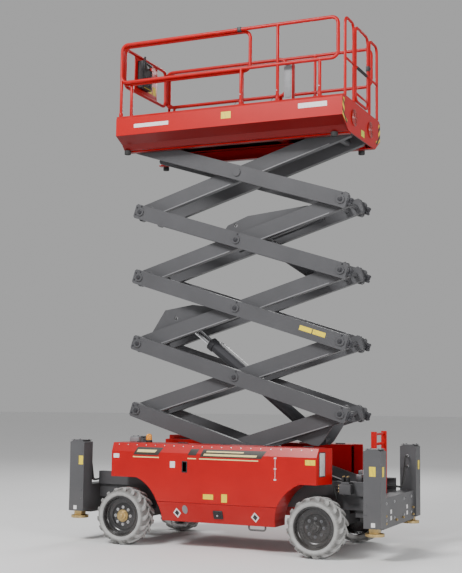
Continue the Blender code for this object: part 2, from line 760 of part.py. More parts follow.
def knuckle(name, side):
    x = -HALF_WHEELBASE
    y = side * KINGPIN_Y
    reach = KNUCKLE_HEIGHT / 2
    block = box(
        (x - KNUCKLE_HALF, x + KNUCKLE_HALF), (y - KNUCKLE_HALF, y + KNUCKLE_HALF),
        (TYRE_RADIUS - reach, TYRE_RADIUS + reach),
    )
    spindle = cross_bar(
        x, TYRE_RADIUS, SPINDLE_RADIUS, y + side * KNUCKLE_HALF / 2, side * (RIM_DISC_Y - GAP), 16,
    )
    wide = hole_radius(KINGPIN_RADIUS)
    low, high = (x, y, TYRE_RADIUS - reach - 0.01), (x, y, TYRE_RADIUS + reach + 0.01)
    return part(name, MID_GREY, block, [spindle], [bar(low, high, wide)], (x, y, TYRE_RADIUS))


def wheel(place, x, side):
    """A tyre that stands on a flat facet, and the rim that fills its bore."""
    centre = (x, TYRE_RADIUS)
    step = math.pi / WHEEL_SIDES
    out, near = TYRE_OUTER_Y, TYRE_OUTER_Y - TYRE_WIDTH
    across = 1 / math.cos(step)
    tread, shoulder = TYRE_RADIUS * across, (TYRE_RADIUS - TYRE_SHOULDER) * across
    profile = [
        (side * near, TYRE_BORE), (side * near, shoulder), (side * (near + TYRE_SHOULDER), tread),
        (side * (out - TYRE_SHOULDER), tread), (side * out, shoulder), (side * out, TYRE_BORE),
    ]
    pivot = (x, 0, TYRE_RADIUS)
    tyre = part(
        f"{place}_tyre", TYRE_GREY, turned(profile, centre, WHEEL_SIDES, step), pivot=pivot,
    )
    lip, inside = TYRE_BORE - GAP, TYRE_BORE - RIM_WALL
    disc_out = RIM_DISC_Y + RIM_DISC_WALL
    profile = [
        (near + RIM_SET_IN, lip), (out - RIM_SET_IN, lip), (out - RIM_SET_IN, inside),
        (disc_out, inside - 0.02), (disc_out, HUB_RADIUS), (disc_out + HUB_REACH, HUB_RADIUS * 0.8),
        (disc_out + HUB_REACH, 0.004), (RIM_DISC_Y, 0.004), (RIM_DISC_Y, inside - 0.02),
        (near + RIM_SET_IN, inside),
    ]
    shell = turned([(side * y, r) for y, r in profile], centre, WHEEL_SIDES, step)
    plug_y = (side * (RIM_DISC_Y + 0.001), side * (disc_out + HUB_REACH - 0.001))
    rim = part(f"{place}_rim", BLACK, shell, [cross_bar(*centre, 0.01, *plug_y, 8)], pivot=pivot)
    return tyre, rim


def running_gear():
    front_axle()
    rear_axle()
    for name, side in (("left", -1), ("right", 1)):
        hub = knuckle(f"{name}_steering_knuckle", side)
        steering = body(f"{name}_steering", (-HALF_WHEELBASE, side * KINGPIN_Y, TYRE_RADIUS), [hub])
        for end, x in (("front", -HALF_WHEELBASE), ("rear", HALF_WHEELBASE)):
            pieces = wheel(f"{end}_{name}", x, side)
            spin = (x, 0, TYRE_RADIUS)
            body(f"{end}_{name}_wheel", spin, pieces, steering if end == "front" else None)


# ----------------------------------------------------------- outriggers

def leg_box(end, side):
    """The outside of one leg box, with its top edges cut off."""
    x0, x1 = sorted((end * LEG_BOX_IN_X, end * LEG_BOX_OUT_X))
    top, cut = LEG_BOX_TOP_Z, LEG_BOX_CHAMFER
    outline = [
        (x0, LEG_BOX_BOTTOM_Z), (x1, LEG_BOX_BOTTOM_Z), (x1, top - cut), (x1 - 2 * cut, top),
        (x0 + 2 * cut, top), (x0, top - cut),
    ]
    return prism(outline, "Y", *sorted((side * LEG_BOX_IN_Y, side * LEG_BOX_OUT_Y)))


def outrigger_beam(name, end):
    """Two leg boxes and the cross beam between them."""
    added = [leg_box(end, -1), leg_box(end, 1)]
    cuts = []
    wall = LEG_BOX_WALL
    for side in (-1, 1):
        inner_x = (end * (LEG_BOX_IN_X + wall), end * (LEG_BOX_OUT_X - wall))
        inner_y = (side * (LEG_BOX_IN_Y + wall), side * (LEG_BOX_OUT_Y - wall))
        inner_z = (LEG_BOX_BOTTOM_Z + 2 * wall, LEG_BOX_TOP_Z - LEG_BOX_CHAMFER - wall)
        cuts.append(box(inner_x, inner_y, inner_z))
        half = LEG_SIZE / 2 + GAP
        x, y = end * LEG_X, side * LEG_Y
        mouth = (LEG_BOX_BOTTOM_Z - 0.01, LEG_BOX_BOTTOM_Z + 3 * wall)
        cuts.append(box((x - half, x + half), (y - half, y + half), mouth))
    beam_x = (end * LEG_BOX_IN_X, end * (LEG_BOX_OUT_X - END_BEAM_SET_IN))
    beam_y = (-LEG_BOX_IN_Y - wall / 2, LEG_BOX_IN_Y + wall / 2)
    beam = box(beam_x, beam_y, (END_BEAM_BOTTOM_Z, END_BEAM_TOP_Z))
    hollow_x = (end * (LEG_BOX_IN_X + wall), end * (LEG_BOX_OUT_X - END_BEAM_SET_IN - wall))
    hollow_y = (-LEG_BOX_IN_Y + wall, LEG_BOX_IN_Y - wall)
    hollow = box(hollow_x, hollow_y, (END_BEAM_BOTTOM_Z - 0.01, END_BEAM_TOP_Z - wall))
    part(name, MID_GREY, beam, added, [*cuts, hollow])


def outrigger_leg(name, end, side):
    x, y = end * LEG_X, side * LEG_Y
    half = LEG_SIZE / 2
    pad_top = PAD_BOTTOM_Z + PAD_WALL
    column = box((x - half, x + half), (y - half, y + half), (pad_top - 0.005, LEG_TOP_Z))
    pad = bar((x, y, PAD_BOTTOM_Z), (x, y, pad_top), PAD_RADIUS, 16)
    part(name, STEEL, column, [pad], pivot=(x, y, PAD_BOTTOM_Z))


def outriggers():
    for end_name, end in (("front", -1), ("rear", 1)):
        outrigger_beam(f"{end_name}_outrigger_beam", end)
        for side_name, side in (("left", -1), ("right", 1)):
            outrigger_leg(f"{end_name}_{side_name}_outrigger_leg", end, side)


# --------------------------------------------------------- side modules

def arch_arc(end, top_z, bottom_z, steps=8):
    """Points of a wheel arch from its top to its bottom, as (x, z)."""
    first = math.asin((top_z - TYRE_RADIUS) / ARCH_RADIUS)
    last = math.asin((bottom_z - TYRE_RADIUS) / ARCH_RADIUS)
    points = []
    for step in range(steps + 1):
        angle = first + (last - first) * step / steps
        x = end * (HALF_WHEELBASE - ARCH_RADIUS * math.cos(angle))
        points.append((x, TYRE_RADIUS + ARCH_RADIUS * math.sin(angle)))
    return points


def module_outline(front_x, rear_x, top_z, raise_floor=0.0):
    """A side module seen from the side, with both wheel arches cut out, as (x, z)."""
    shelf = MODULE_OVER_WHEEL_Z + raise_floor
    front = [(x + raise_floor, z) for x, z in arch_arc(-1, shelf, SKIRT_BOTTOM_Z + raise_floor)]
    rear = [(x - raise_floor, z) for x, z in arch_arc(1, shelf, SKIRT_BOTTOM_Z + raise_floor)]
    return [(front_x, shelf), *front, *reversed(rear), (rear_x, shelf), (rear_x, top_z), (front_x, top_z)]


def module_tray(side):
    """The fixed half of a side module as a solid block, and the cutters of its outside."""
    front_x = MODULE_FRONT_X + HOOD_SHEET + 0.005
    tray_out = MODULE_OUT_Y - HOOD_SHEET - 0.005
    outline = module_outline(front_x, TRAY_REAR_X, MODULE_TOP_Z - GAP)
    shell = prism(outline, "Y", *sorted((side * TRAY_IN_Y, side * MODULE_OUT_Y)))
    wall_y = TRAY_IN_Y + SHEET
    x = (front_x - 0.2, TRAY_REAR_X + 0.2)
    above_skirt = box(
        x, (side * tray_out, side * (MODULE_OUT_Y + 0.1)), (SKIRT_TOP_Z, MODULE_TOP_Z + 0.1),
    )
    over_hood = box(
        x, (side * HOOD_HINGE_Y, side * (MODULE_OUT_Y + 0.1)),
        (MODULE_OVER_WHEEL_Z + 2 * SHEET, MODULE_TOP_Z + 0.1),
    )
    below_skirt = prism(mirrored([
        (SKIRT_BOTTOM_Y, SKIRT_BOTTOM_Z - 0.001), (MODULE_OUT_Y, SKIRT_TOP_Z),
        (MODULE_OUT_Y + 0.1, SKIRT_TOP_Z), (MODULE_OUT_Y + 0.1, SKIRT_BOTTOM_Z - 0.001),
    ], side), "X", *x)
    hollow_skirt = prism(mirrored([
        (wall_y, SKIRT_BOTTOM_Z + SHEET), (SKIRT_BOTTOM_Y - SHEET, SKIRT_BOTTOM_Z + SHEET),
        (MODULE_OUT_Y - 2 * SHEET, SKIRT_TOP_Z + 0.001), (wall_y, SKIRT_TOP_Z + 0.001),
    ], side), "X", -HALF_WHEELBASE + ARCH_RADIUS + SHEET, HALF_WHEELBASE - ARCH_RADIUS - SHEET)
    return shell, [above_skirt, over_hood, below_skirt, hollow_skirt]


def side_tray(name, side):
    """The fixed half of a side module: inner wall, floor, wheel arches and skirt."""
    shell, cuts = module_tray(side)
    wall_y = TRAY_IN_Y + SHEET
    front_x = MODULE_FRONT_X + HOOD_SHEET + 0.005
    upper = module_outline(front_x - 0.1, TRAY_REAR_X + 0.1, MODULE_TOP_Z - SHEET, SHEET)
    room = prism(
        [(x, max(z, SKIRT_TOP_Z)) for x, z in upper], "Y",
        *sorted((side * wall_y, side * (MODULE_OUT_Y + 0.2))),
    )
    part(name, RED, shell, cuts=[room, *cuts])


def module_profile(side, out_y, top_z, crease_z, top_edge_y, bottom_z, in_y):
    return mirrored([
        (in_y, bottom_z), (out_y, bottom_z), (out_y, crease_z), (top_edge_y, top_z), (in_y, top_z),
    ], side)


def hood(name, side):
    """The gull-wing cover of a side module: top, outer side and ends."""
    bottom = SKIRT_TOP_Z + 0.005
    profile = module_profile(
        side, MODULE_OUT_Y, MODULE_TOP_Z, MODULE_CREASE_Z, MODULE_TOP_EDGE_Y, bottom,
        HOOD_HINGE_Y + GAP,
    )
    shell = prism(profile, "X", MODULE_FRONT_X, MODULE_REAR_X)
    wall = HOOD_SHEET
    room = prism(module_profile(
        side, MODULE_OUT_Y - wall, MODULE_TOP_Z - wall, MODULE_CREASE_Z - wall / 2,
        MODULE_TOP_EDGE_Y - wall, 0.0, HOOD_HINGE_Y - 0.1,
    ), "X", MODULE_FRONT_X + wall, TRAY_REAR_X + 0.005)
    corner = prism([
        (MODULE_REAR_OUTER_X, side * (MODULE_OUT_Y + 0.01)),
        (MODULE_REAR_X + 0.01, side * (MODULE_OUT_Y + 0.01)),
        (MODULE_REAR_X + 0.01, side * (MODULE_CORNER_Y - 0.03)),
    ], "Z", 0.0, MODULE_TOP_Z + 0.1)
    arches = []
    across = sorted((side * (HOOD_HINGE_Y - 0.1), side * (MODULE_OUT_Y + 0.1)))
    for end, stop in ((-1, MODULE_FRONT_X - 0.1), (1, MODULE_REAR_X + 0.1)):
        arc = arch_arc(end, MODULE_OVER_WHEEL_Z, SKIRT_BOTTOM_Z)
        outline = [(stop, MODULE_OVER_WHEEL_Z), *arc, (stop, SKIRT_BOTTOM_Z)]
        arches.append(prism(outline, "Y", *across))
    more = []
    if side > 0:
        bulge_y = (side * BULGE_IN_Y, side * BULGE_OUT_Y)
        top = (MODULE_TOP_Z - SHEET, MODULE_TOP_Z + BULGE_HEIGHT)
        more.append(box((BULGE_FRONT_X, BULGE_REAR_X), bulge_y, top))
    part(name, RED, shell, more, [room, corner, *arches], (0, side * HOOD_HINGE_Y, MODULE_TOP_Z))


def side_modules():
    floor_z = SKIRT_BOTTOM_Z + SHEET + GAP
    for name, side in (("left", -1), ("right", 1)):
        side_tray(f"{name}_side_tray", side)
        hood(f"{name}_hood", side)
    engine_x = (ENGINE_FRONT_X, ENGINE_FRONT_X + ENGINE_LENGTH)
    engine_z = (floor_z, floor_z + ENGINE_HEIGHT)
    part("engine_block", MID_GREY, box(engine_x, (BLOCK_IN_Y, BLOCK_OUT_Y), engine_z))
    tank_x = (TANK_FRONT_X, TANK_FRONT_X + TANK_LENGTH)
    tank_z = (floor_z, floor_z + TANK_HEIGHT)
    part("fuel_tank", BLACK, box(tank_x, (-BLOCK_OUT_Y, -BLOCK_IN_Y), tank_z))


def ladder():
    x0 = END_CROSS_OUT_X + GAP
    x = (x0, x0 + STRINGER_DEPTH)
    z = (LADDER_BOTTOM_Z, LADDER_TOP_Z)
    stringers = []
    for side in (-1, 1):
        inner = side * (LADDER_HALF_WIDTH - STRINGER_WALL)
        stringers.append(box(x, (inner, side * LADDER_HALF_WIDTH), z))
    reach = LADDER_HALF_WIDTH - STRINGER_WALL / 2
    rungs = []
    for rung in range(RUNGS):
        rung_z = LADDER_TOP_Z - 0.03 - rung * (LADDER_TOP_Z - LADDER_BOTTOM_Z - 0.06) / (RUNGS - 1)
        rungs.append(cross_bar(x0 + STRINGER_DEPTH / 2, rung_z, RUNG_RADIUS, -reach, reach, 8))
    part("ladder", RED, stringers[0], [stringers[1], *rungs])


def beacon():
    y = -(TRAY_IN_Y + HOOD_HINGE_Y) / 2
    foot = (BEACON_X, y, MODULE_TOP_Z)
    base = bar(foot, (BEACON_X, y, MODULE_TOP_Z + 0.02), BEACON_RADIUS * 1.1, 16)
    top = (BEACON_X, y, MODULE_TOP_Z + BEACON_HEIGHT)
    lens = bar((BEACON_X, y, MODULE_TOP_Z + 0.015), top, BEACON_RADIUS, 16)
    part("beacon", AMBER, base, [lens])


# -------------------------------------------------------------- platform

def above_pins(height):
    return PLATFORM_PIN_Z + height


def beam_outline(side):
    """The folded sheet of a platform side beam, as (y, z)."""
    wall = BEAM_SHEET
    outer = [
        (BEAM_LIP_Y, BEAM_TOP_Z), (BEAM_SHOULDER_Y, BEAM_TOP_Z), (BEAM_OUT_Y, BEAM_SHOULDER_Z),
        (BEAM_OUT_Y, BEAM_LOW_Z), (BEAM_FLANGE_Y, BEAM_FLANGE_Z),
        (BEAM_FLANGE_Y - 0.062, BEAM_FOOT_Z), (BEAM_FOOT_Y - 0.04, BEAM_FOOT_Z),
    ]
    inner = [
        (BEAM_FOOT_Y - 0.04, BEAM_FOOT_Z + wall), (BEAM_FLANGE_Y - 0.066, BEAM_FOOT_Z + wall),
        (BEAM_FLANGE_Y - 0.005, BEAM_FLANGE_Z + wall * 0.9), (BEAM_OUT_Y - wall, BEAM_LOW_Z + wall * 0.7),
        (BEAM_OUT_Y - wall, BEAM_SHOULDER_Z - wall * 0.4),
        (BEAM_SHOULDER_Y - wall * 0.4, BEAM_TOP_Z - wall),
        (BEAM_LIP_Y, BEAM_TOP_Z - wall),
    ]
    return mirrored([(y, above_pins(z)) for y, z in (*outer, *inner)], side)


def platform_deck():
    """Floor, side beams, roller tracks, cross members and the rear toe plate."""
    x = (DECK_FRONT_X, DECK_REAR_X)
    half = BEAM_OUT_Y - BEAM_SHEET / 2
    floor = box(x, (-half, half), (above_pins(FLOOR_Z - FLOOR_WALL), above_pins(FLOOR_Z)))
    added = []
    for side in (-1, 1):
        added.append(prism(beam_outline(side), "X", DECK_FRONT_X, DECK_REAR_X + TOE_WALL / 2))
        added.append(prism(track_outline(side, PLATFORM_PIN_Z), "X", DECK_FRONT_X + 0.001, DECK_REAR_X))
        added.append(bearing_block(side, PLATFORM_PIN_Z))
    top = above_pins(FLOOR_Z - FLOOR_WALL / 2)
    for cross_x, bottom_z in DECK_CROSSES:
        place = (cross_x - DECK_CROSS_HALF, cross_x + DECK_CROSS_HALF)
        reach = BEAM_FLANGE_Y
        added.append(box(place, (-reach, reach), (above_pins(bottom_z), top)))
    toe_x = (DECK_REAR_X, DECK_REAR_X + TOE_WALL)
    toe_z = (above_pins(BEAM_FOOT_Z), above_pins(BEAM_TOP_Z))
    toe = prism(mirrored([
        (-BEAM_OUT_Y, above_pins(BEAM_SHOULDER_Z)), (-BEAM_OUT_Y, above_pins(BEAM_LOW_Z)),
        (-BEAM_FLANGE_Y + 0.062, toe_z[0]), (BEAM_FLANGE_Y - 0.062, toe_z[0]),
        (BEAM_OUT_Y, above_pins(BEAM_LOW_Z)), (BEAM_OUT_Y, above_pins(BEAM_SHOULDER_Z)),
        (BEAM_SHOULDER_Y, toe_z[1]), (-BEAM_SHOULDER_Y, toe_z[1]),
    ], 1), "X", *toe_x)
    cuts = [bearing_bore(side, PLATFORM_PIN_Z) for side in (-1, 1)]
    return part(
        "platform_deck", RED, floor, [*added, toe], cuts, (REAR_PIN_X, 0, PLATFORM_PIN_Z),
    )


def post(x, y, bottom, top, radius=POST_RADIUS):
    return bar((x, y, above_pins(bottom)), (x, y, above_pins(top)), radius, 8, math.pi / 8)


def main_rail(name, side):
    """A side guard rail: a long loop with its mid rail, on posts."""
    y = side * RAIL_Y
    top, mid, foot = above_pins(RAIL_TOP_Z), above_pins(RAIL_MID_Z), BEAM_TOP_Z + GAP
    loop = [
        (RAIL_FRONT_X, y, top), (RAIL_REAR_X, y, top), (RAIL_REAR_X, y, mid), (RAIL_FRONT_X, y, mid),
    ]
    added = [post(RAIL_FRONT_X, y, foot, RAIL_MID_Z + RAIL_BEND)]
    added += [post(x, y, foot, RAIL_MID_Z) for x in RAIL_SHORT_POSTS_X]
    added.append(post(RAIL_FULL_POST_X, y, foot, RAIL_TOP_Z))
    return part(name, RED, pipe(loop, RAIL_RADIUS, (0, 1, 0), closed=True), added)


def end_rail(name, side):
    """A narrow fixed rail beside the gate; the left one has the gate's hinge lugs."""
    x = DECK_REAR_X + TOE_WALL / 2
    foot, top = above_pins(BEAM_TOP_Z + GAP), above_pins(RAIL_TOP_Z)
    out_y, in_y = side * END_RAIL_OUT_Y, side * END_RAIL_IN_Y
    hoop = [(x, out_y, foot), (x, out_y, top), (x, in_y, top), (x, in_y, foot)]
    mid = above_pins(RAIL_MID_Z)
    added = [bar((x, out_y, mid), (x, in_y, mid), END_BAR_RADIUS, 8)]
    if side < 0:
        edge = -GATE_HALF_WIDTH - END_RAIL_RADIUS - GAP
        for height in (GATE_LOW_BAR_Z + 0.05, RAIL_MID_Z + 0.1):
            z = above_pins(height)
            lug_x = (x - END_BAR_RADIUS * 0.7, x + END_BAR_RADIUS * 0.7)
            added.append(box(lug_x, (in_y, edge), (z, z + HINGE_LUG)))
    return part(name, RED, pipe(hoop, END_RAIL_RADIUS, (1, 0, 0)), added)


def gate():
    """The rear gate, which swings inwards about its left post."""
    x = DECK_REAR_X + TOE_WALL / 2
    low, top, half = above_pins(GATE_BOTTOM_Z), above_pins(RAIL_TOP_Z), GATE_HALF_WIDTH
    loop = [(x, -half, low), (x, -half, top), (x, half, top), (x, half, low)]
    bars = []
    for height in (GATE_LOW_BAR_Z, RAIL_MID_Z):
        z = above_pins(height)
        bars.append(bar((x, -half, z), (x, half, z), END_BAR_RADIUS, 8))
    frame = pipe(loop, END_RAIL_RADIUS, (1, 0, 0), closed=True, turn=0)
    return part("gate", RED, frame, bars, pivot=(x, -half, low))


def extension_deck():
    """The deck that slides out over the front, on four skids."""
    bottom = above_pins(FLOOR_Z + EXTENSION_LIFT)
    half, sheet = EXTENSION_HALF_WIDTH, EXTENSION_SHEET
    floor = box((EXTENSION_FRONT_X, EXTENSION_REAR_X), (-half, half), (bottom, bottom + sheet))
    top = above_pins(BEAM_TOP_Z)
    added = []
    for side in (-1, 1):
        side_x = (EXTENSION_FRONT_X + sheet / 2, EXTENSION_REAR_X - 0.001)
        web_y = (side * (half - sheet), side * half)
        added.append(box(side_x, web_y, (bottom + sheet / 2, top)))
        lip_y = (side * (half - EXTENSION_SIDE), side * (half - sheet / 2))
        added.append(box(side_x, lip_y, (top - sheet, top)))
        for start in (EXTENSION_REAR_X - SKID_LENGTH - 0.02, DECK_FRONT_X + 0.03):
            skid_y = (side * (half - 0.03 - SKID_WIDTH), side * (half - 0.03))
            skid_z = (above_pins(FLOOR_Z) + GAP, bottom + sheet / 2)
            added.append(box((start, start + SKID_LENGTH), skid_y, skid_z))
    toe_x = (EXTENSION_FRONT_X, EXTENSION_FRONT_X + sheet)
    toe_y, toe_top = half - sheet / 12, top - sheet / 12
    low, notch = above_pins(BEAM_LOW_Z), above_pins(TOE_NOTCH_Z)
    toe_outline = [
        (-toe_y, low), (-TOE_NOTCH_Y, low), (-TOE_NOTCH_Y, notch), (TOE_NOTCH_Y, notch),
        (TOE_NOTCH_Y, low), (toe_y, low), (toe_y, toe_top), (-toe_y, toe_top),
    ]
    added.append(prism(toe_outline, "X", *toe_x))
    return part("extension_deck", RED, floor, added, pivot=(EXTENSION_FRONT_X, 0, bottom))


def extension_side_rail(name, side):
    y = side * EXTENSION_RAIL_Y
    high, low = RAIL_TOP_Z - EXTENSION_RAIL_DROP, RAIL_MID_Z - EXTENSION_RAIL_DROP
    x0, x1 = EXTENSION_RAIL_FRONT_X, EXTENSION_RAIL_REAR_X
    z0, z1 = above_pins(low), above_pins(high)
    loop = [(x0, y, z1), (x1, y, z1), (x1, y, z0), (x0, y, z0)]
    posts = [post(x, y, BEAM_TOP_Z + GAP, low) for x in EXTENSION_POSTS_X]
    return part(name, RED, pipe(loop, RAIL_RADIUS, (0, 1, 0), closed=True), posts)


def extension_front_rail():
    """The end rail of the extension deck, between its side rails, with a blank plate."""
    x = EXTENSION_RAIL_FRONT_X
    half = EXTENSION_RAIL_Y - 2 * RAIL_RADIUS * math.cos(math.pi / 8) - GAP
    z0 = above_pins(RAIL_MID_Z - EXTENSION_RAIL_DROP)
    z1 = above_pins(RAIL_TOP_Z - EXTENSION_RAIL_DROP)
    loop = [(x, -half, z0), (x, -half, z1), (x, half, z1), (x, half, z0)]
    plate_x = (x - FRONT_PLATE_WALL / 2, x + FRONT_PLATE_WALL / 2)
    plate = box(plate_x, (-FRONT_PLATE_HALF, FRONT_PLATE_HALF), (z0, z1))
    frame = pipe(loop, RAIL_RADIUS, (1, 0, 0), closed=True)
    return part("extension_front_rail", RED, frame, [plate])


def control_box():
    x = EXTENSION_RAIL_FRONT_X + FRONT_PLATE_WALL / 2 + GAP
    z = tuple(above_pins(height) for height in CONTROL_BOX_Z)
    shape = box((x, x + CONTROL_BOX_DEPTH), CONTROL_BOX_Y, z)
    return part("control_box", BLACK, shape)


def console():
    """The grey console that hangs inside the left guard rail."""
    mid = above_pins(RAIL_MID_Z)
    z = (mid - CONSOLE_HEIGHT, mid + RAIL_RADIUS)
    case = box(CONSOLE_X, CONSOLE_Y, z)
    hook_x = (CONSOLE_X[0] + 0.02, CONSOLE_X[1] - 0.02)
    hook_y = (-RAIL_Y + RAIL_RADIUS * math.cos(math.pi / 8) + GAP, CONSOLE_Y[0] + 0.01)
    hook = box(hook_x, hook_y, (mid - 0.006, mid + 0.006))
    return part("platform_console", MID_GREY, case, [hook])


def platform():
    sliding = [extension_deck(), extension_front_rail(), control_box()]
    fixed = [platform_deck(), console()]
    for name, side in (("left", -1), ("right", 1)):
        fixed.append(main_rail(f"{name}_guard_rail", side))
        fixed.append(end_rail(f"rear_{name}_guard_rail", side))
        sliding.append(extension_side_rail(f"extension_{name}_rail", side))
    top = body("platform", (REAR_PIN_X, 0, PLATFORM_PIN_Z), fixed)
    body("extension", (EXTENSION_FRONT_X, 0, above_pins(FLOOR_Z)), sliding, top)
    hinge = (DECK_REAR_X + TOE_WALL / 2, -GATE_HALF_WIDTH, above_pins(GATE_BOTTOM_Z))
    body("gate_hinge", hinge, [gate()], top)


def main():
    for obj in list(bpy.data.objects):
        bpy.data.objects.remove(obj, do_unlink=True)
    chassis_frame()
    running_gear()
    outriggers()
    side_modules()
    ladder()
    beacon()
    scissor_stack()
    platform()


main()
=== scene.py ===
"""A scissor lift with a sliding platform extension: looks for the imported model."""

import contextlib
import math

import bmesh
import bpy
from mathutils import Matrix, Vector


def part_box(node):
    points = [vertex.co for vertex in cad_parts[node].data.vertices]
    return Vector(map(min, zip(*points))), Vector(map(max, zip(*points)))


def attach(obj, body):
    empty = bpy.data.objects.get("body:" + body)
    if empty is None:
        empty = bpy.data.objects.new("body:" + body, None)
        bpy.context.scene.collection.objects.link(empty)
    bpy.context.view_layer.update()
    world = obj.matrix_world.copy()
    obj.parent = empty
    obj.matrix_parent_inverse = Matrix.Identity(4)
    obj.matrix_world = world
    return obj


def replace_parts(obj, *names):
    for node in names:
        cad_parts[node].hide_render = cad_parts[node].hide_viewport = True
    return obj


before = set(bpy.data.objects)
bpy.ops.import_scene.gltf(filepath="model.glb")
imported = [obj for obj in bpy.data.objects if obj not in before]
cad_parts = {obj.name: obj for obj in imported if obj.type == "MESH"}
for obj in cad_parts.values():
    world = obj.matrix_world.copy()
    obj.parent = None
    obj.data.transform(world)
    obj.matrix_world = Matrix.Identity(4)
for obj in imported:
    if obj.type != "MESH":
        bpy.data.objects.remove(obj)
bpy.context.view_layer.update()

bl_info = {
    "name": "Scissor Lift Looks",
    "version": (1, 0, 0),
    "blender": (4, 5, 0),
    "location": "3D View > Sidebar > Lift",
    "description": "Wheels, covers, scissor, platform and finishes of a scissor lift",
    "category": "Object",
}

SIDES = (("left", -1), ("right", 1))
ENDS = (("front", -1), ("rear", 1))
AXLE_X, AXLE_Z = 1.195, 0.33
MATERIALS = {}


# ------------------------------------------------------------------ finishes

# Sockets of a Mix node that mixes colours.
MIX_FACTOR, MIX_A, MIX_B, MIX_RESULT = 0, 6, 7, 2


class Wire:
    """A number in a material's node tree. Arithmetic on it adds Math nodes."""

    def __init__(self, finish, socket):
        self.finish = finish
        self.socket = socket

    def math(self, operation, *others, clamp=False):
        settings = {"operation": operation, "use_clamp": clamp}
        node = self.finish.node("ShaderNodeMath", settings, dict(enumerate(others)))
        return Wire(self.finish, node.outputs[0])

    def __add__(self, other):
        return self.math("ADD", self, other)

    def __sub__(self, other):
        return self.math("SUBTRACT", self, other)

    def __mul__(self, other):
        return self.math("MULTIPLY", self, other)

    def __truediv__(self, other):
        return self.math("DIVIDE", self, other)

    def __rsub__(self, other):
        return self.math("SUBTRACT", other, self)

    def __pow__(self, other):
        return self.math("POWER", self, other)

    __radd__ = __add__
    __rmul__ = __mul__

    def size(self):
        return self.math("ABSOLUTE", self)

    def above(self, level):
        return self.math("GREATER_THAN", self, level)

    def below(self, level):
        return self.math("LESS_THAN", self, level)

    def most(self, other):
        return self.math("MAXIMUM", self, other)

    def wave(self):
        return self.math("SINE", self)

    def clamped(self):
        return self.math("ADD", self, 0.0, clamp=True)

    def ramp(self, low, high):
        """0 at low or less and 1 at high or more."""
        settings = {"clamp": True}
        inputs = {"Value": self, "From Min": low, "From Max": high}
        node = self.finish.node("ShaderNodeMapRange", settings, inputs)
        return Wire(self.finish, node.outputs["Result"])


class Finish:
    """A material in the making."""

    def __init__(self, name):
        self.material = bpy.data.materials.new(name)
        self.material.use_nodes = True
        self.tree = self.material.node_tree
        self.tree.nodes.clear()
        self.places = None

    def node(self, kind, settings=None, inputs=None):
        """Adds a node: its settings are made first, then its sockets get values or links."""
        node = self.tree.nodes.new(kind)
        for key, value in (settings or {}).items():
            setattr(node, key, value)
        for key, value in (inputs or {}).items():
            value = getattr(value, "socket", value)
            if isinstance(value, bpy.types.NodeSocket):
                self.tree.links.new(value, node.inputs[key])
            else:
                node.inputs[key].default_value = value
        return node

    def place(self):
        """Object coordinates, and their x, y and z."""
        if self.places is None:
            where = self.node("ShaderNodeTexCoord").outputs["Object"]
            apart = self.node("ShaderNodeSeparateXYZ", None, {0: where})
            self.places = (where, *(Wire(self, apart.outputs[i]) for i in range(3)))
        return self.places

    def noise(self, scale, detail=2.0, roughness=0.5, stretch=(1, 1, 1)):
        where = self.place()[0]
        if stretch != (1, 1, 1):
            where = self.node("ShaderNodeMapping", None, {"Vector": where, "Scale": stretch})
            where = where.outputs[0]
        inputs = {"Vector": where, "Scale": scale, "Detail": detail, "Roughness": roughness}
        return Wire(self, self.node("ShaderNodeTexNoise", None, inputs).outputs["Fac"])

    def upward(self):
        """The z of the surface's normal."""
        normal = self.node("ShaderNodeNewGeometry").outputs["Normal"]
        apart = self.node("ShaderNodeSeparateXYZ", None, {0: normal})
        return Wire(self, apart.outputs[2])

    def edges(self, radius):
        """A normal with softened edges, and a mask of where the edges are."""
        soft = self.node("ShaderNodeBevel", {"samples": 4}, {"Radius": radius}).outputs[0]
        flat = self.node("ShaderNodeNewGeometry").outputs["Normal"]
        dot = self.node("ShaderNodeVectorMath", {"operation": "DOT_PRODUCT"}, {0: soft, 1: flat})
        return soft, (1.0 - Wire(self, dot.outputs["Value"])).ramp(0.004, 0.10)

    def mix(self, factor, first, second):
        first, second = (
            (*colour, 1.0) if isinstance(colour, tuple) else colour for colour in (first, second)
        )
        inputs = {MIX_FACTOR: factor, MIX_A: first, MIX_B: second}
        node = self.node("ShaderNodeMix", {"data_type": "RGBA"}, inputs)
        return node.outputs[MIX_RESULT]

    def bump(self, height, distance, normal=None, strength=1.0):
        inputs = {"Height": height, "Distance": distance, "Strength": strength}
        if normal is not None:
            inputs["Normal"] = normal
        return self.node("ShaderNodeBump", None, inputs).outputs[0]

    def surface(self, colour, roughness, normal=None, **others):
        """Closes the material with a Principled surface."""
        inputs = {"Base Color": colour, "Roughness": roughness}
        if isinstance(colour, tuple):
            inputs["Base Color"] = (*colour, 1.0)
        if normal is not None:
            inputs["Normal"] = normal
        inputs.update({key.replace("_", " "): value for key, value in others.items()})
        shader = self.node("ShaderNodeBsdfPrincipled", None, inputs)
        self.node("ShaderNodeOutputMaterial", None, {"Surface": shader.outputs[0]})
        return self.material


def tinted(colour, share):
    return tuple(channel * share for channel in colour)


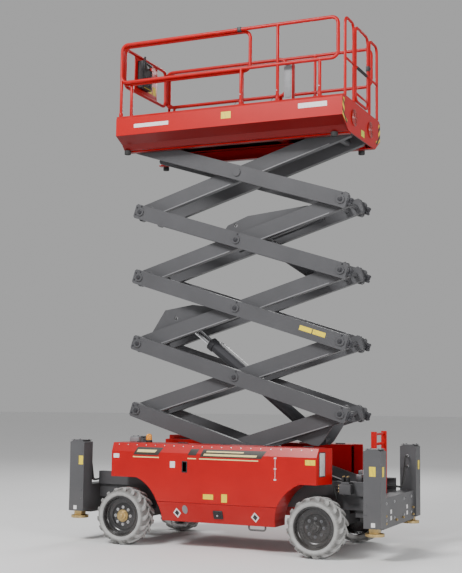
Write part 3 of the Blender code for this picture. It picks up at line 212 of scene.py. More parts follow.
def paint(name, colour, roughness=0.32, coat=0.25, edge=0.003, worn=None, dirt=0.5, shine=0.25):
    """Sprayed paint: slight shade changes, fine peel, rubbed edges and dust low down."""
    finish = Finish(name)
    worn = worn or tuple(0.65 * channel + 0.06 for channel in colour)
    _, _, _, z = finish.place()
    cloudy = finish.noise(2.3, 4.0, 0.6)
    spots = finish.noise(46.0, 3.0, 0.65)
    shade = finish.mix(cloudy.ramp(0.3, 0.7), tinted(colour, 0.90), tinted(colour, 1.04))
    soft, rim = finish.edges(edge)
    rubbed = rim * spots.ramp(0.50, 0.68) * 0.75
    shade = finish.mix(rubbed, shade, worn)
    low = (1.0 - z).ramp(0.0, 1.0)
    film = (low * low * cloudy.ramp(0.25, 0.75) * 0.55 + spots.ramp(0.62, 0.8) * low * 0.35) * dirt
    shade = finish.mix(film.clamped(), shade, (0.20, 0.17, 0.135))
    peel = finish.noise(420.0, 1.0)
    gloss = roughness + 0.10 * spots + 0.3 * film
    normal = finish.bump(peel, 0.00012, soft, 0.5)
    return finish.surface(
        shade, gloss.clamped(), normal, Coat_Weight=coat, Coat_Roughness=0.15,
        Specular_IOR_Level=shine,
    )


def platform_paint(name, colour):
    """The platform's paint, with grey chequered tread where people stand."""
    finish = Finish(name)
    _, x, y, z = finish.place()
    # The floors' heights lie between these, with nothing else that faces up.
    floor = finish.upward().above(0.5) * z.above(4.99) * z.below(5.03)
    cloudy, spots = finish.noise(2.6, 4.0, 0.6), finish.noise(52.0, 3.0, 0.65)
    shade = finish.mix(cloudy.ramp(0.3, 0.7), tinted(colour, 0.92), tinted(colour, 1.04))
    soft, rim = finish.edges(0.003)
    shade = finish.mix(rim * spots.ramp(0.5, 0.7) * 0.7, shade, (0.62, 0.22, 0.18))
    # Below, faces that look down get painted shade, a dark maroon, and the floor panels show their
    # bare undersides.
    under = (0.0 - finish.upward()).ramp(0.10, 0.55)
    shade = finish.mix(under * 0.78, shade, (0.085, 0.006, 0.006))
    panel = under.above(0.9) * z.above(4.98) * (1.0 - (x + 1.46).size().below(0.02))
    shade = finish.mix(panel, shade, (0.085, 0.095, 0.085))
    pitch, lobes = 0.032, []
    for turn in (1, -1):
        along, across = (x + y * turn) / pitch, (x - y * turn) / pitch
        row = (across * math.pi).wave().size().ramp(0.80, 0.95)
        lobes.append(row * (along * math.pi / 2 + turn * 0.8).wave().ramp(0.55, 0.80))
    tread = lobes[0].most(lobes[1])
    steel = finish.mix(tread, (0.19, 0.19, 0.19), (0.42, 0.42, 0.41))
    steel = finish.mix(spots.ramp(0.55, 0.75) * 0.5, steel, (0.12, 0.10, 0.08))
    shade = finish.mix(floor, shade, steel)
    normal = finish.bump(tread * floor, 0.002, soft)
    gloss = 0.32 + 0.10 * spots + floor * 0.12
    return finish.surface(
        shade, gloss, normal, Metallic=floor * 0.6, Coat_Weight=0.06, Specular_IOR_Level=0.25,
    )


def metal(name, colour, roughness, grain=260.0, tarnish=None):
    """Bare or plated metal with a fine grain and patchy tarnish."""
    finish = Finish(name)
    streak = finish.noise(grain, 2.0, 0.6, (1, 1, 0.15))
    patch = finish.noise(24.0, 4.0, 0.65)
    tarnish = tarnish or tinted(colour, 0.55)
    shade = finish.mix(patch.ramp(0.45, 0.75) * 0.6, colour, tarnish)
    soft, rim = finish.edges(0.0012)
    shade = finish.mix(rim * 0.35, shade, tuple(min(1.0, 1.25 * c) for c in colour))
    gloss = roughness + 0.18 * patch + 0.08 * streak
    normal = finish.bump(streak, 0.0002, soft, 0.4)
    return finish.surface(shade, gloss, normal, Metallic=1.0)


def plastic(name, colour, roughness=0.45, grain=900.0):
    """Moulded plastic or rubber with a fine texture."""
    finish = Finish(name)
    fine, patch = finish.noise(grain, 1.0), finish.noise(18.0, 4.0, 0.6)
    shade = finish.mix(patch.ramp(0.3, 0.75), tinted(colour, 0.82), tinted(colour, 1.1))
    soft, rim = finish.edges(0.0015)
    shade = finish.mix(rim * 0.4, shade, tuple(0.7 * c + 0.08 for c in colour))
    normal = finish.bump(fine, 0.0002, soft, 0.5)
    return finish.surface(shade, roughness + 0.15 * patch, normal)


def tyre_rubber(name, colour):
    """Pale non-marking rubber: scuffed on the tread, with painted shade in the grooves."""
    finish = Finish(name)
    _, x, _, z = finish.place()
    patch, fine = finish.noise(14.0, 5.0, 0.65), finish.noise(160.0, 3.0, 0.6)
    reach = ((x.size() - AXLE_X) ** 2 + (z - AXLE_Z) ** 2) ** 0.5
    # Painted shade: a ring round the carcass, between the lugs and on the sidewall next to them, is
    # darkened.
    groove_shade = (1.0 - reach.ramp(0.300, 0.322)) * reach.ramp(0.262, 0.285)
    shade = finish.mix(patch.ramp(0.3, 0.7), tinted(colour, 0.72), tinted(colour, 1.08))
    shade = finish.mix(groove_shade * 0.62, shade, (0.10, 0.095, 0.09))
    shade = finish.mix(fine.ramp(0.55, 0.8) * 0.4, shade, (0.20, 0.18, 0.15))
    soft, rim = finish.edges(0.004)
    shade = finish.mix(rim * 0.3, shade, (0.72, 0.72, 0.70))
    normal = finish.bump(fine + patch * 0.5, 0.0015, soft, 0.6)
    return finish.surface(shade, 0.78 + 0.15 * patch, normal)


def label(name, colour, mark, pitch=0.02):
    """A blank printed label: a flat field with a faint border shade and fine scuffs."""
    finish = Finish(name)
    _, x, _, z = finish.place()
    scuff, patch = finish.noise(120.0, 4.0, 0.7), finish.noise(9.0, 3.0)
    bars = ((x + z * 0.3) / pitch * math.pi).wave().above(0.4) * patch.above(0.5)
    shade = finish.mix(bars * 0.22, colour, mark)
    shade = finish.mix(scuff.ramp(0.6, 0.8) * 0.35, shade, tinted(colour, 0.6))
    soft, _ = finish.edges(0.0006)
    return finish.surface(shade, 0.38 + 0.15 * scuff, finish.bump(scuff, 0.0001, soft, 0.4))


def hazard(name, first, second):
    """Diagonal warning stripes."""
    finish, pitch = Finish(name), 0.11
    _, _, y, z = finish.place()
    stripe = ((z - y.size() * 0.9) / pitch * math.pi * 2).wave().above(0.0)
    scuff = finish.noise(90.0, 4.0, 0.7)
    shade = finish.mix(stripe, first, second)
    shade = finish.mix(scuff.ramp(0.6, 0.8) * 0.5, shade, (0.25, 0.20, 0.12))
    soft, _ = finish.edges(0.0006)
    return finish.surface(shade, 0.4 + 0.15 * scuff, finish.bump(scuff, 0.0001, soft, 0.4))


def lens(name, colour, glow=0.15):
    finish = Finish(name)
    ribs = (finish.place()[3] * (math.pi / 0.0035)).wave()
    haze = finish.noise(30.0, 3.0)
    shade = finish.mix(haze.ramp(0.3, 0.7), tinted(colour, 0.85), colour)
    return finish.surface(
        shade, 0.12 + 0.1 * haze, finish.bump(ribs, 0.0006), Coat_Weight=0.6,
        Emission_Color=(*colour, 1.0), Emission_Strength=glow, Transmission_Weight=0.25,
    )


def make_materials(scene):
    """Every finish of the lift, by its name in this file."""
    colours = scene.lift_finishes
    red, arm, grey = tuple(colours.red), tuple(colours.arm_grey), tuple(colours.frame_grey)
    MATERIALS.update({
        "red": paint("red_enamel", red, 0.30, 0.10),
        "platform": platform_paint("platform_enamel", red),
        "rail": paint("rail_enamel", red, 0.32, 0.08, 0.0015, dirt=0.0),
        "arm": paint("arm_coating", arm, 0.42, 0.08, worn=(0.30, 0.30, 0.31), dirt=0.3),
        "frame": paint("frame_coating", grey, 0.42, 0.08, worn=(0.42, 0.42, 0.43)),
        "dark": paint("dark_coating", (0.045, 0.045, 0.05), 0.5, 0.05),
        "rim": paint(
            "rim_enamel", (0.022, 0.022, 0.024), 0.20, 0.5, worn=(0.10, 0.10, 0.10), shine=0.5,
        ),
        "tyre": tyre_rubber("pale_rubber", tuple(colours.tyre)),
        "stud": metal("dark_stud", (0.22, 0.22, 0.23), 0.35),
        "chrome": metal("chromed_rod", (0.80, 0.80, 0.82), 0.10, 90.0),
        "steel": metal("zinc_steel", (0.60, 0.60, 0.61), 0.28),
        "gold": metal("yellow_zinc", (0.62, 0.45, 0.20), 0.32, tarnish=(0.33, 0.27, 0.17)),
        "black": plastic("black_plastic", (0.02, 0.02, 0.022)),
        "rubber": plastic("black_rubber", (0.025, 0.025, 0.025), 0.65, 500.0),
        "grey_plastic": plastic("grey_plastic", (0.24, 0.25, 0.26), 0.5),
        "hose": plastic("hose_rubber", (0.03, 0.03, 0.03), 0.5, 300.0),
        "knob": plastic("red_plastic", (0.75, 0.02, 0.02), 0.3),
        "yellow": label("yellow_label", tuple(colours.yellow), (0.30, 0.26, 0.10)),
        "lime": label("lime_label", (0.62, 0.72, 0.06), (0.30, 0.30, 0.10)),
        "white": label("white_label", (0.80, 0.78, 0.78), (0.62, 0.45, 0.45)),
        "cream": label("cream_stripe", (0.85, 0.70, 0.30), (0.70, 0.52, 0.20), 0.05),
        "stripe": label("dark_stripe", (0.035, 0.030, 0.025), (0.06, 0.05, 0.03)),
        # Also worn by the inner arms' pale strips, which are a painted highlight.
        "silver": label("silver_label_and_painted_highlight", (0.21, 0.21, 0.22), (0.14, 0.14, 0.15)),
        "hazard": hazard("warning_stripes", (0.85, 0.62, 0.04), (0.02, 0.02, 0.02)),
        "amber": lens("amber_lens", (0.95, 0.38, 0.02)),
        "lamp": lens("clear_lens", (0.62, 0.62, 0.60), 0.02),
        # The reflectors are no lamps: their faint glow is painted light.
        "reflector": lens("red_reflector_painted_glow", (0.42, 0.015, 0.01), 0.02),
    })


# ------------------------------------------------------------- modelling tools

def bare():
    """Object mode with nothing selected."""
    if bpy.context.mode != "OBJECT":
        bpy.ops.object.mode_set(mode="OBJECT")
    bpy.ops.object.select_all(action="DESELECT")


def take(piece):
    bare()
    piece.select_set(True)
    bpy.context.view_layer.objects.active = piece


def settle(piece, matrix=None):
    """Moves the object's place, and any matrix, into its mesh."""
    take(piece)
    if matrix is not None:
        piece.matrix_world = matrix @ piece.matrix_world
    bpy.ops.object.transform_apply(location=True, rotation=True, scale=True)
    return piece


@contextlib.contextmanager
def editing(piece, mode="FACE", action="SELECT"):
    """Edit mode on one piece, with all of it or, with DESELECT, none of it selected."""
    take(piece)
    bpy.ops.object.mode_set(mode="EDIT")
    bpy.ops.mesh.select_mode(type=mode)
    bpy.ops.mesh.select_all(action=action)
    yield
    bpy.ops.object.mode_set(mode="OBJECT")


def face_out():
    """Turns all faces of the piece being edited outwards."""
    bpy.ops.mesh.select_all(action="SELECT")
    bpy.ops.mesh.normals_make_consistent(inside=False)


def soften(offset, segments=2):
    bpy.ops.mesh.bevel(offset=offset, segments=segments, affect="EDGES")


def push(way):
    bpy.ops.mesh.extrude_region_move(TRANSFORM_OT_translate={"value": way})


def choose(piece, test):
    """Selects the piece's faces that pass the test."""
    shape = bmesh.from_edit_mesh(piece.data)
    for face in shape.faces:
        face.select_set(bool(test(face)))
    bmesh.update_edit_mesh(piece.data)


def sink(piece, way, least_area, inset, depth):
    """Insets the large faces that look one way, and sinks what is inside."""
    way = Vector(way)
    with editing(piece, action="DESELECT"):
        choose(piece, lambda face: face.normal.dot(way) > 0.9 and face.calc_area() > least_area)
        bpy.ops.mesh.inset(thickness=inset)
        push(-way * depth)
    return piece


def block(corner, opposite, soft=0.002, segments=2):
    """A box with rounded edges between two opposite corners."""
    spans = [sorted(pair) for pair in zip(corner, opposite)]
    low, high = (Vector(end) for end in zip(*spans))
    bare()
    bpy.ops.mesh.primitive_cube_add(size=1, location=(low + high) / 2, scale=high - low)
    piece = settle(bpy.context.object)
    with editing(piece, "EDGE"):
        soften(soft, segments)
    return piece


def sticker(corner, opposite):
    """A thin label between two opposite corners."""
    return block(corner, opposite, 0.0003, 1)


def drum(start, end, radius, sides=24, soft=0.002, inset=0.0):
    """A round solid between two points, with rounded rims and, if inset, a sunk end."""
    start, end = Vector(start), Vector(end)
    turn = (end - start).to_track_quat("Z", "Y").to_euler()
    bare()
    bpy.ops.mesh.primitive_cylinder_add(
        vertices=sides, radius=radius, depth=(end - start).length,
        location=(start + end) / 2, rotation=turn,
    )
    piece = settle(bpy.context.object)
    way = (end - start).normalized()
    with editing(piece, action="DESELECT"):
        choose(piece, lambda face: len(face.verts) == sides)
        soften(soft)
        if inset:
            choose(piece, lambda face: len(face.verts) == sides and face.normal.dot(way) > 0.9)
            bpy.ops.mesh.inset(thickness=inset)
            push(-way * inset * 0.4)
    return piece


def stub(start, step, radius, sides=12, soft=0.002, inset=0.0):
    """A drum from a point, one step along."""
    start = Vector(start)
    return drum(start, start + Vector(step), radius, sides, soft, inset)


def line(points, filled=False):
    """Points joined by edges, grown from one corner by extrusion; filled makes it a face."""
    points = [Vector(point) for point in points]
    bare()
    bpy.ops.mesh.primitive_plane_add(size=0.01, location=points[0])
    piece = settle(bpy.context.object)
    with editing(piece, "VERT"):
        bpy.ops.mesh.merge(type="CENTER")
        for before, after in zip(points, points[1:]):
            bpy.ops.mesh.extrude_vertices_move(TRANSFORM_OT_translate={"value": after - before})
        if filled:
            bpy.ops.mesh.select_all(action="SELECT")
            bpy.ops.mesh.edge_face_add()
    return piece


def turned(points, centre, axis=(0, 1, 0), steps=48):
    """A profile spun once round an axis."""
    piece = line(points)
    with editing(piece, "VERT"):
        bpy.ops.mesh.spin(steps=steps, angle=2 * math.pi, center=centre, axis=axis)
        bpy.ops.mesh.select_all(action="SELECT")
        bpy.ops.mesh.remove_doubles(threshold=0.00005)
        face_out()
    return piece


def spun(centre, axis, rows, steps):
    """A profile of (distance along the axis, radius) turned round the X or the Z axis."""
    centre = Vector(centre)
    along, out = ((1, 0, 0), (0, 0, 1)) if axis == "X" else ((0, 0, 1), (1, 0, 0))
    points = [centre + Vector(along) * far + Vector(out) * radius for far, radius in rows]
    return turned(points, centre, along, steps)


def plate(points, lift):
    """A flat outline given a thickness along lift."""
    piece = line(points, filled=True)
    with editing(piece):
        push(Vector(lift))
        face_out()
    return piece


def loft(stations):
    """A closed outline extruded through a row of like outlines."""
    piece = line(stations[0], filled=True)
    with editing(piece):
        for before, after in zip(stations, stations[1:]):
            bpy.ops.mesh.extrude_region()
            shape = bmesh.from_edit_mesh(piece.data)
            for vert in [v for v in shape.verts if v.select]:
                nearest = min(
                    range(len(before)), key=lambda i: (Vector(before[i]) - vert.co).length
                )
                vert.co = after[nearest]
            bmesh.update_edit_mesh(piece.data)
        face_out()
    return piece


def tube(points, radius, closed=False, sides=6):
    """A round tube that follows the points."""
    curve = bpy.data.curves.new("path", "CURVE")
    curve.dimensions, curve.bevel_depth, curve.bevel_resolution = "3D", radius, sides // 2
    curve.use_fill_caps = True
    spline = curve.splines.new("POLY")
    spline.points.add(len(points) - 1)
    for point, place in zip(spline.points, points):
        point.co = (*place, 1.0)
    spline.use_cyclic_u = closed
    piece = bpy.data.objects.new("path", curve)
    bpy.context.scene.collection.objects.link(piece)
    take(piece)
    bpy.ops.object.convert(target="MESH")
    return bpy.context.object


def bent(corners, bend, closed=False, steps=6):
    """Points of a path whose corners are rounded."""
    path, count = [], len(corners)
    for index, corner in enumerate(corners):
        corner = Vector(corner)
        if not closed and index in (0, count - 1):
            path.append(corner)
            continue
        back = (Vector(corners[index - 1]) - corner).normalized()
        ahead = (Vector(corners[(index + 1) % count]) - corner).normalized()
        half = back.angle(ahead) / 2
        middle = corner + (back + ahead).normalized() * bend / math.sin(half)
        first = (corner + back * bend / math.tan(half) - middle).normalized()
        last = (corner + ahead * bend / math.tan(half) - middle).normalized()
        for step in range(steps + 1):
            path.append(middle + bend * first.slerp(last, step / steps))
    return path


def copies(piece, matrices):
    """Turns a piece into copies of it, each with its own mesh, one for each matrix."""
    made = []
    for matrix in matrices:
        twin = piece.copy()
        twin.data = piece.data.copy()
        twin.data.transform(matrix)
        bpy.context.scene.collection.objects.link(twin)
        made.append(twin)
    bpy.data.objects.remove(piece)
    return made


def joined(pieces):
    take(pieces[0])
    for piece in pieces:
        piece.select_set(True)
    if len(pieces) > 1:
        bpy.ops.object.join()
    return bpy.context.object


def done(piece, name, finish, body, angle=35):
    """Names and finishes a piece, or a list of them as one, and lets it ride on its body."""
    if isinstance(piece, list):
        piece = joined(piece)
    piece.name = name
    piece.data.name = name
    piece.data.materials.clear()
    piece.data.materials.append(MATERIALS[finish])
    take(piece)
    bpy.ops.object.shade_smooth_by_angle(angle=math.radians(angle))
    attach(piece, body)
    return piece


def about(centre, axis, angle):
    """A turn about a line through centre."""
    shift = Matrix.Translation(centre)
    return shift @ Matrix.Rotation(angle, 4, axis) @ shift.inverted()


def bolt(centre, axis, radius=0.010, height=0.008):
    """A hexagon head on a washer."""
    centre, axis = Vector(centre), Vector(axis).normalized()
    washer = drum(centre, centre + axis * height * 0.25, radius * 1.5, 16, radius * 0.08)
    head = drum(centre, centre + axis * height, radius, 6, radius * 0.12, radius * 0.3)
    return joined([head, washer])


# ------------------------------------------------------------------- settings

def colour_setting(name, description, default):
    return bpy.props.FloatVectorProperty(
        name=name, description=description, default=default, size=3, min=0.0, max=1.0,
        subtype="COLOR",
    )


def length_setting(name, description, default):
    return bpy.props.FloatProperty(
        name=name, description=description, default=default, min=0.0, unit="LENGTH",
        precision=4,
    )


class LiftFinishes(bpy.types.PropertyGroup):
    red: colour_setting("Red", "Covers, platform and rails", (0.47, 0.002, 0.003))
    arm_grey: colour_setting("Arm grey", "Scissor arms", (0.085, 0.085, 0.09))
    frame_grey: colour_setting("Frame grey", "Outriggers and frame", (0.095, 0.095, 0.10))
    tyre: colour_setting("Tyre", "Non-marking tyres", (0.44, 0.44, 0.43))
    yellow: colour_setting("Label yellow", "Warning labels", (0.86, 0.66, 0.02))


class LiftWheels(bpy.types.PropertyGroup):
    lugs: bpy.props.IntProperty(
        name="Lugs", description="Lugs on each half of a tyre", default=17, min=8, max=40,
    )
    lug_width: length_setting("Lug width", "Width of a lug round the tyre", 0.040)
    carcass: length_setting("Carcass radius", "Radius of the tyre between its lugs", 0.302)
    studs: bpy.props.IntProperty(
        name="Studs", description="Wheel studs on each rim", default=8, min=4, max=12,
    )
    stud_circle: length_setting("Stud circle", "Radius of the ring of studs", 0.098)


class LiftCovers(bpy.types.PropertyGroup):
    label_wall: length_setting("Label thickness", "Thickness of the labels", 0.0009)
    screw_pitch: length_setting("Screw pitch", "Distance between the screws", 0.121)


class LiftChassis(bpy.types.PropertyGroup):
    loop_rod: length_setting("Loop rod", "Radius of the tie-down loops' rod", 0.011)
    hose: length_setting("Hose", "Radius of the hydraulic hoses", 0.011)


class LiftScissor(bpy.types.PropertyGroup):
    keeper: length_setting("Keeper", "Spacing of a pin's lock tab", 0.10)
    pipe: length_setting("Pipe", "Radius of the cylinders' oil pipes", 0.008)


class LiftPlatform(bpy.types.PropertyGroup):
    rail: length_setting("Rail radius", "Radius of the side rails' tube", 0.021)
    bend: length_setting("Rail bend", "Bend radius of the rails", 0.08)
    buffer: length_setting("Buffer radius", "Radius of the ribbed buffers", 0.098)


class LiftStage(bpy.types.PropertyGroup):
    focal: bpy.props.FloatProperty(
        name="Focal length", description="Focal length of the camera", default=68.84,
        unit="CAMERA",
    )
    key: bpy.props.FloatProperty(
        name="Key light", description="Power of the key light", default=1700.0, unit="POWER"
    )


SETTINGS = (
    ("lift_finishes", LiftFinishes), ("lift_wheels", LiftWheels), ("lift_covers", LiftCovers),
    ("lift_chassis", LiftChassis), ("lift_scissor", LiftScissor),
    ("lift_platform", LiftPlatform), ("lift_stage", LiftStage),
)


# --------------------------------------------------------------- CAD finishes

# The CAD nodes of each finish, by how their names begin: the first that fits counts.
NODE_FINISHES = (
    ("chrome", ("lower_cylinder_rod", "upper_cylinder_rod")),
    ("arm", ("inner_arms", "outer_arms")),
    ("platform", ("platform_deck", "extension_deck")),
    ("grey_plastic", ("platform_console",)),
    ("black", ("control_box", "fuel_tank")),
    ("rail", (
        "gate", "left_guard", "right_guard", "rear_left_guard", "rear_right_guard", "extension",
    )),
    ("red", ("left_side_tray", "right_side_tray", "left_hood", "right_hood", "ladder")),
    ("amber", ("beacon",)),
    ("dark", (
        "lower_cylinder", "upper_cylinder", "engine_block", "front_axle", "rear_axle",
        "left_steering", "right_steering",
    )),
)


def finish_of(node):
    for finish, prefixes in NODE_FINISHES:
        if node.startswith(prefixes):
            return finish
    if node.endswith("_tyre"):
        return "tyre"
    if node.endswith("_rim"):
        return "rim"
    return "gold" if node.endswith("_outrigger_leg") else "frame"


class LIFT_OT_finishes(bpy.types.Operator):
    """Gives each CAD node its finish"""

    bl_idname = "lift.finishes"
    bl_label = "Finishes"

    def execute(self, context):
        make_materials(context.scene)
        for name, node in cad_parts.items():
            material = MATERIALS[finish_of(name)]
            if not node.data.materials:
                node.data.materials.append(material)
            for slot in node.material_slots:
                slot.material = material
        return {"FINISHED"}


# --------------------------------------------------------------------- wheels

class Wheel:
    """Sizes of one wheel, read from its tyre's box."""

    def __init__(self, end, side):
        low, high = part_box(f"{end}_{side}_tyre")
        self.middle = (low + high) / 2
        self.radius = (high.z - low.z) / 2
        self.out = 1 if side == "right" else -1

    def at(self, out, radius, angle=0.0):
        """A point at a distance outwards from the tyre's middle, at a radius and an angle."""
        return (
            self.middle.x + radius * math.sin(angle), self.middle.y + self.out * out,
            self.middle.z + radius * math.cos(angle),
        )

    def turns(self, count, offset=0.0):
        """Even turns about the axle."""
        pitch = 2 * math.pi / count
        return [about(self.middle, "Y", pitch * step + offset) for step in range(count)]


FOOT_SHARE = 0.7645
# Half of the tyre's section, as (distance from its middle plane, share of the carcass radius).
TYRE_SECTION = (
    (0.0, 1.0), (0.070, 0.999), (0.110, 0.992), (0.130, 0.975), (0.1420, 0.945), (0.1475, 0.905),
    (0.1480, 0.870), (0.1450, 0.835), (0.1400, 0.800), (0.1330, 0.775), (0.1270, FOOT_SHARE),
)
# Stations of a lug: distance out, angle along the slant, depths of its top below the tyre's
# radius and of its foot below the carcass, and share of its width.
LUG_STATIONS = (
    (-0.010, -0.20, 0.002, 0.012, 0.85), (0.030, -0.06, 0.0, 0.012, 0.95),
    (0.075, 0.06, 0.0, 0.014, 1.0), (0.112, 0.13, 0.004, 0.020, 1.05),
    (0.136, 0.16, 0.018, 0.034, 1.1), (0.1485, 0.17, 0.044, 0.052, 1.0),
)


def tyre(wheel, settings):
    """A carcass with two rings of slanted lugs, half a pitch apart."""
    carcass, foot = settings.carcass, settings.carcass * FOOT_SHARE
    half = [(out, share * carcass) for out, share in TYRE_SECTION]
    other = [(-out, radius) for out, radius in reversed(half[1:])]
    ring = [*half, *other, (-0.10, foot), (0.10, foot), half[0]]
    body = turned([wheel.at(*spot) for spot in ring], wheel.middle, steps=64)
    top, pitch = wheel.radius - 0.0015, 2 * math.pi / settings.lugs
    lugs = []
    for flip in (1, -1):
        half_lug = settings.lug_width / 2 / top
        stations = []
        for out, along, top_depth, foot_depth, share in LUG_STATIONS:
            high, low, wide = top - top_depth, carcass - foot_depth, half_lug * share
            inner = out if out < 0.13 else out - 0.012
            stations.append([
                wheel.at(flip * inner, low, along - wide * 1.25),
                wheel.at(flip * out, high, along - wide),
                wheel.at(flip * out, high, along + wide),
                wheel.at(flip * inner, low, along + wide * 1.25),
            ])
        lug = loft(stations)
        with editing(lug, "EDGE"):
            soften(0.003, 1)
        lugs += copies(lug, wheel.turns(settings.lugs, pitch / 2 if flip < 0 else 0.0))
    return joined([body, *lugs])


# The rim's section from the outer lip over the bead seat and back over the dish, as (distance
# out, radius); a radius at or below 0 is counted back from the bore.
RIM_SECTION = (
    (0.134, -0.020), (0.139, -0.018), (0.1405, -0.010), (0.138, -0.004), (0.130, -0.0015),
    (0.112, -0.0015), (0.100, -0.004), (-0.112, -0.0045), (-0.132, -0.0015), (-0.138, -0.008),
    (-0.134, -0.016), (0.045, -0.019), (0.050, -0.030), (0.050, 0.050), (0.068, 0.050),
    (0.068, 0.125), (0.064, 0.133), (0.060, 0.150), (0.064, 0.168), (0.070, 0.176),
    (0.070, -0.034), (0.076, -0.026), (0.086, -0.0225), (0.124, -0.0215),
)
HUB_SECTION = (
    (0.062, 0.0), (0.062, 0.070), (0.080, 0.072), (0.086, 0.068), (0.088, 0.056), (0.104, 0.054),
    (0.109, 0.049), (0.110, 0.026), (0.123, 0.025), (0.126, 0.021), (0.126, 0.0),
)


def rim(wheel, settings):
    """A deep dished rim, its hub and its studs; returns the dish, the hub and the studs."""
    bore, out = wheel.radius * 0.7118, (0, wheel.out, 0)
    points = [wheel.at(far, r if r > 0 else bore + r) for far, r in RIM_SECTION]
    dish = turned([*points, points[0]], wheel.middle, steps=64)
    hub = turned([wheel.at(*spot) for spot in HUB_SECTION], wheel.middle, steps=32)
    cap_bolts = copies(bolt(wheel.at(0.109, 0.038), out, 0.005, 0.004), wheel.turns(6, 0.3))
    hub = joined([hub, *cap_bolts])
    circle = settings.stud_circle
    stud = bolt(wheel.at(0.068, circle), out, 0.0125, 0.013)
    tip = drum(wheel.at(0.080, circle), wheel.at(0.090, circle), 0.0065, 12, 0.001)
    studs = copies(joined([stud, tip]), wheel.turns(settings.studs))
    return dish, hub, joined(studs)


class LIFT_OT_wheels(bpy.types.Operator):
    """Treaded tyres on dished rims, with hubs and studs"""

    bl_idname = "lift.wheels"
    bl_label = "Wheels"

    def execute(self, context):
        settings = context.scene.lift_wheels
        for end, _ in ENDS:
            for side, _ in SIDES:
                wheel, name = Wheel(end, side), f"{end}_{side}"
                body = f"{name}_wheel"
                rubber = tyre(wheel, settings)
                done(rubber, f"{name}_treaded_tyre", "tyre", body, 40)
                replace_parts(rubber, f"{name}_tyre")
                front = end == "front"
                dish, hub, studs = rim(wheel, settings)
                dish = done(dish, f"{name}_dished_rim", "rim", body)
                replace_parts(dish, f"{name}_rim")
                done(hub, f"{name}_hub", "gold" if front else "rim", body)
                done(studs, f"{name}_studs", "steel" if front else "stud", body)
        return {"FINISHED"}


# --------------------------------------------------------------------- covers

CREASE_Z, COVER_TOP_Z, SKIRT_Z = 1.08, 1.18, 0.52
COVER_Y, TOP_EDGE_Y, SKIRT_FOOT_Y, SKIRT_FOOT_Z = 0.84, 0.80, 0.76, 0.30
BAND_NORMAL = Vector((0, 0.928, 0.371))


def skin(z):
    """How far out the cover's skin is at height z."""
    if z > CREASE_Z:
        share = (z - CREASE_Z) / (COVER_TOP_Z - CREASE_Z)
        return COVER_Y + (TOP_EDGE_Y - COVER_Y) * share
    if z < SKIRT_Z:
        share = (SKIRT_Z - z) / (SKIRT_Z - SKIRT_FOOT_Z)
        return COVER_Y + (SKIRT_FOOT_Y - COVER_Y) * share
    return COVER_Y


def patch(sign, low_z, high_z, low_x, high_x, wall=0.0009):
    """A label on the skin: its lower edge spans low_x and its upper edge high_x."""
    heights = [low_z, high_z]
    if low_z < CREASE_Z < high_z:
        heights.insert(1, CREASE_Z)
    stations = []
    for z in heights:
        share = (z - low_z) / (high_z - low_z)
        x0 = low_x[0] + (high_x[0] - low_x[0]) * share
        x1 = low_x[1] + (high_x[1] - low_x[1]) * share
        y0, y1 = sign * (skin(z) - 0.0005), sign * (skin(z) + wall)
        stations.append([(x0, y0, z), (x0, y1, z), (x1, y1, z), (x1, y0, z)])
    return loft(stations)


def medallion(sign, x, z, half_width, half_height, points, wall):
    """A flat oval, or with 4 points a lozenge, that lies on the skin."""
    outline = []
    for step in range(points):
        angle = 2 * math.pi * step / points
        height = z + half_height * math.sin(angle)
        outline.append((x + half_width * math.cos(angle), sign * skin(height), height))
    return plate(outline, (0, sign * wall, 0))


# Labels of a cover: name, finish, heights, span of the lower edge, span of the upper edge.
COVER_LABELS = (
    ("front_notice", "white", 1.002, 1.052, (-1.325, -1.250), (-1.325, -1.250)),
    ("short_stripe", "stripe", 1.047, 1.136, (-1.060, -0.732), (-1.010, -0.672)),
    ("short_stripe_bar", "cream", 1.078, 1.108, (-1.015, -0.775), (-1.000, -0.750)),
    ("short_underline", "cream", 1.016, 1.028, (-1.065, -0.722), (-1.065, -0.722)),
    ("square_notice", "white", 0.912, 0.985, (-0.576, -0.512), (-0.576, -0.512)),
    ("stripe_tail", "stripe", 1.060, 1.134, (-0.352, -0.246), (-0.315, -0.208)),
    ("long_stripe", "stripe", 1.047, 1.134, (-0.196, 0.560), (-0.158, 0.622)),
    ("long_stripe_bar_high", "cream", 1.102, 1.116, (-0.120, 0.340), (-0.110, 0.350)),
    ("long_stripe_bar", "cream", 1.062, 1.084, (-0.150, 0.500), (-0.140, 0.515)),
    ("tail_underline", "cream", 1.018, 1.030, (-0.352, -0.243), (-0.352, -0.243)),
    ("long_underline", "cream", 1.018, 1.030, (-0.205, 0.526), (-0.205, 0.526)),
    ("wide_warning", "yellow", 0.573, 0.630, (-0.149, -0.022), (-0.149, -0.022)),
    ("tall_warning", "yellow", 0.547, 0.640, (0.080, 0.150), (0.080, 0.150)),
    ("rear_warning", "yellow", 0.998, 1.056, (1.082, 1.200), (1.082, 1.200)),
)
TIE_DOWN_X = (-0.495, 0.478)


def corner_lamp(sign):
    """A bezel and a ribbed lens on the cut rear corner."""
    along = Vector((0.327, -0.945 * sign, 0))
    outward = Vector((0.945, 0.327 * sign, 0))
    centre = Vector((1.2435, 0.745 * sign, 1.005))
    local = Matrix((
        (along.x, outward.x, 0, centre.x), (along.y, outward.y, 0, centre.y),
        (0, 0, 1, centre.z), (0, 0, 0, 1),
    ))
    bezel = block((-0.056, -0.002, -0.135), (0.056, 0.006, 0.135), 0.004)
    sink(bezel, (0, 1, 0), 0.005, 0.006, 0.004)
    glass = block((-0.046, 0.001, -0.126), (0.046, 0.0052, 0.126), 0.0015)
    for piece in (bezel, glass):
        settle(piece, local)
        if sign > 0:
            with editing(piece):
                face_out()
    return bezel, glass


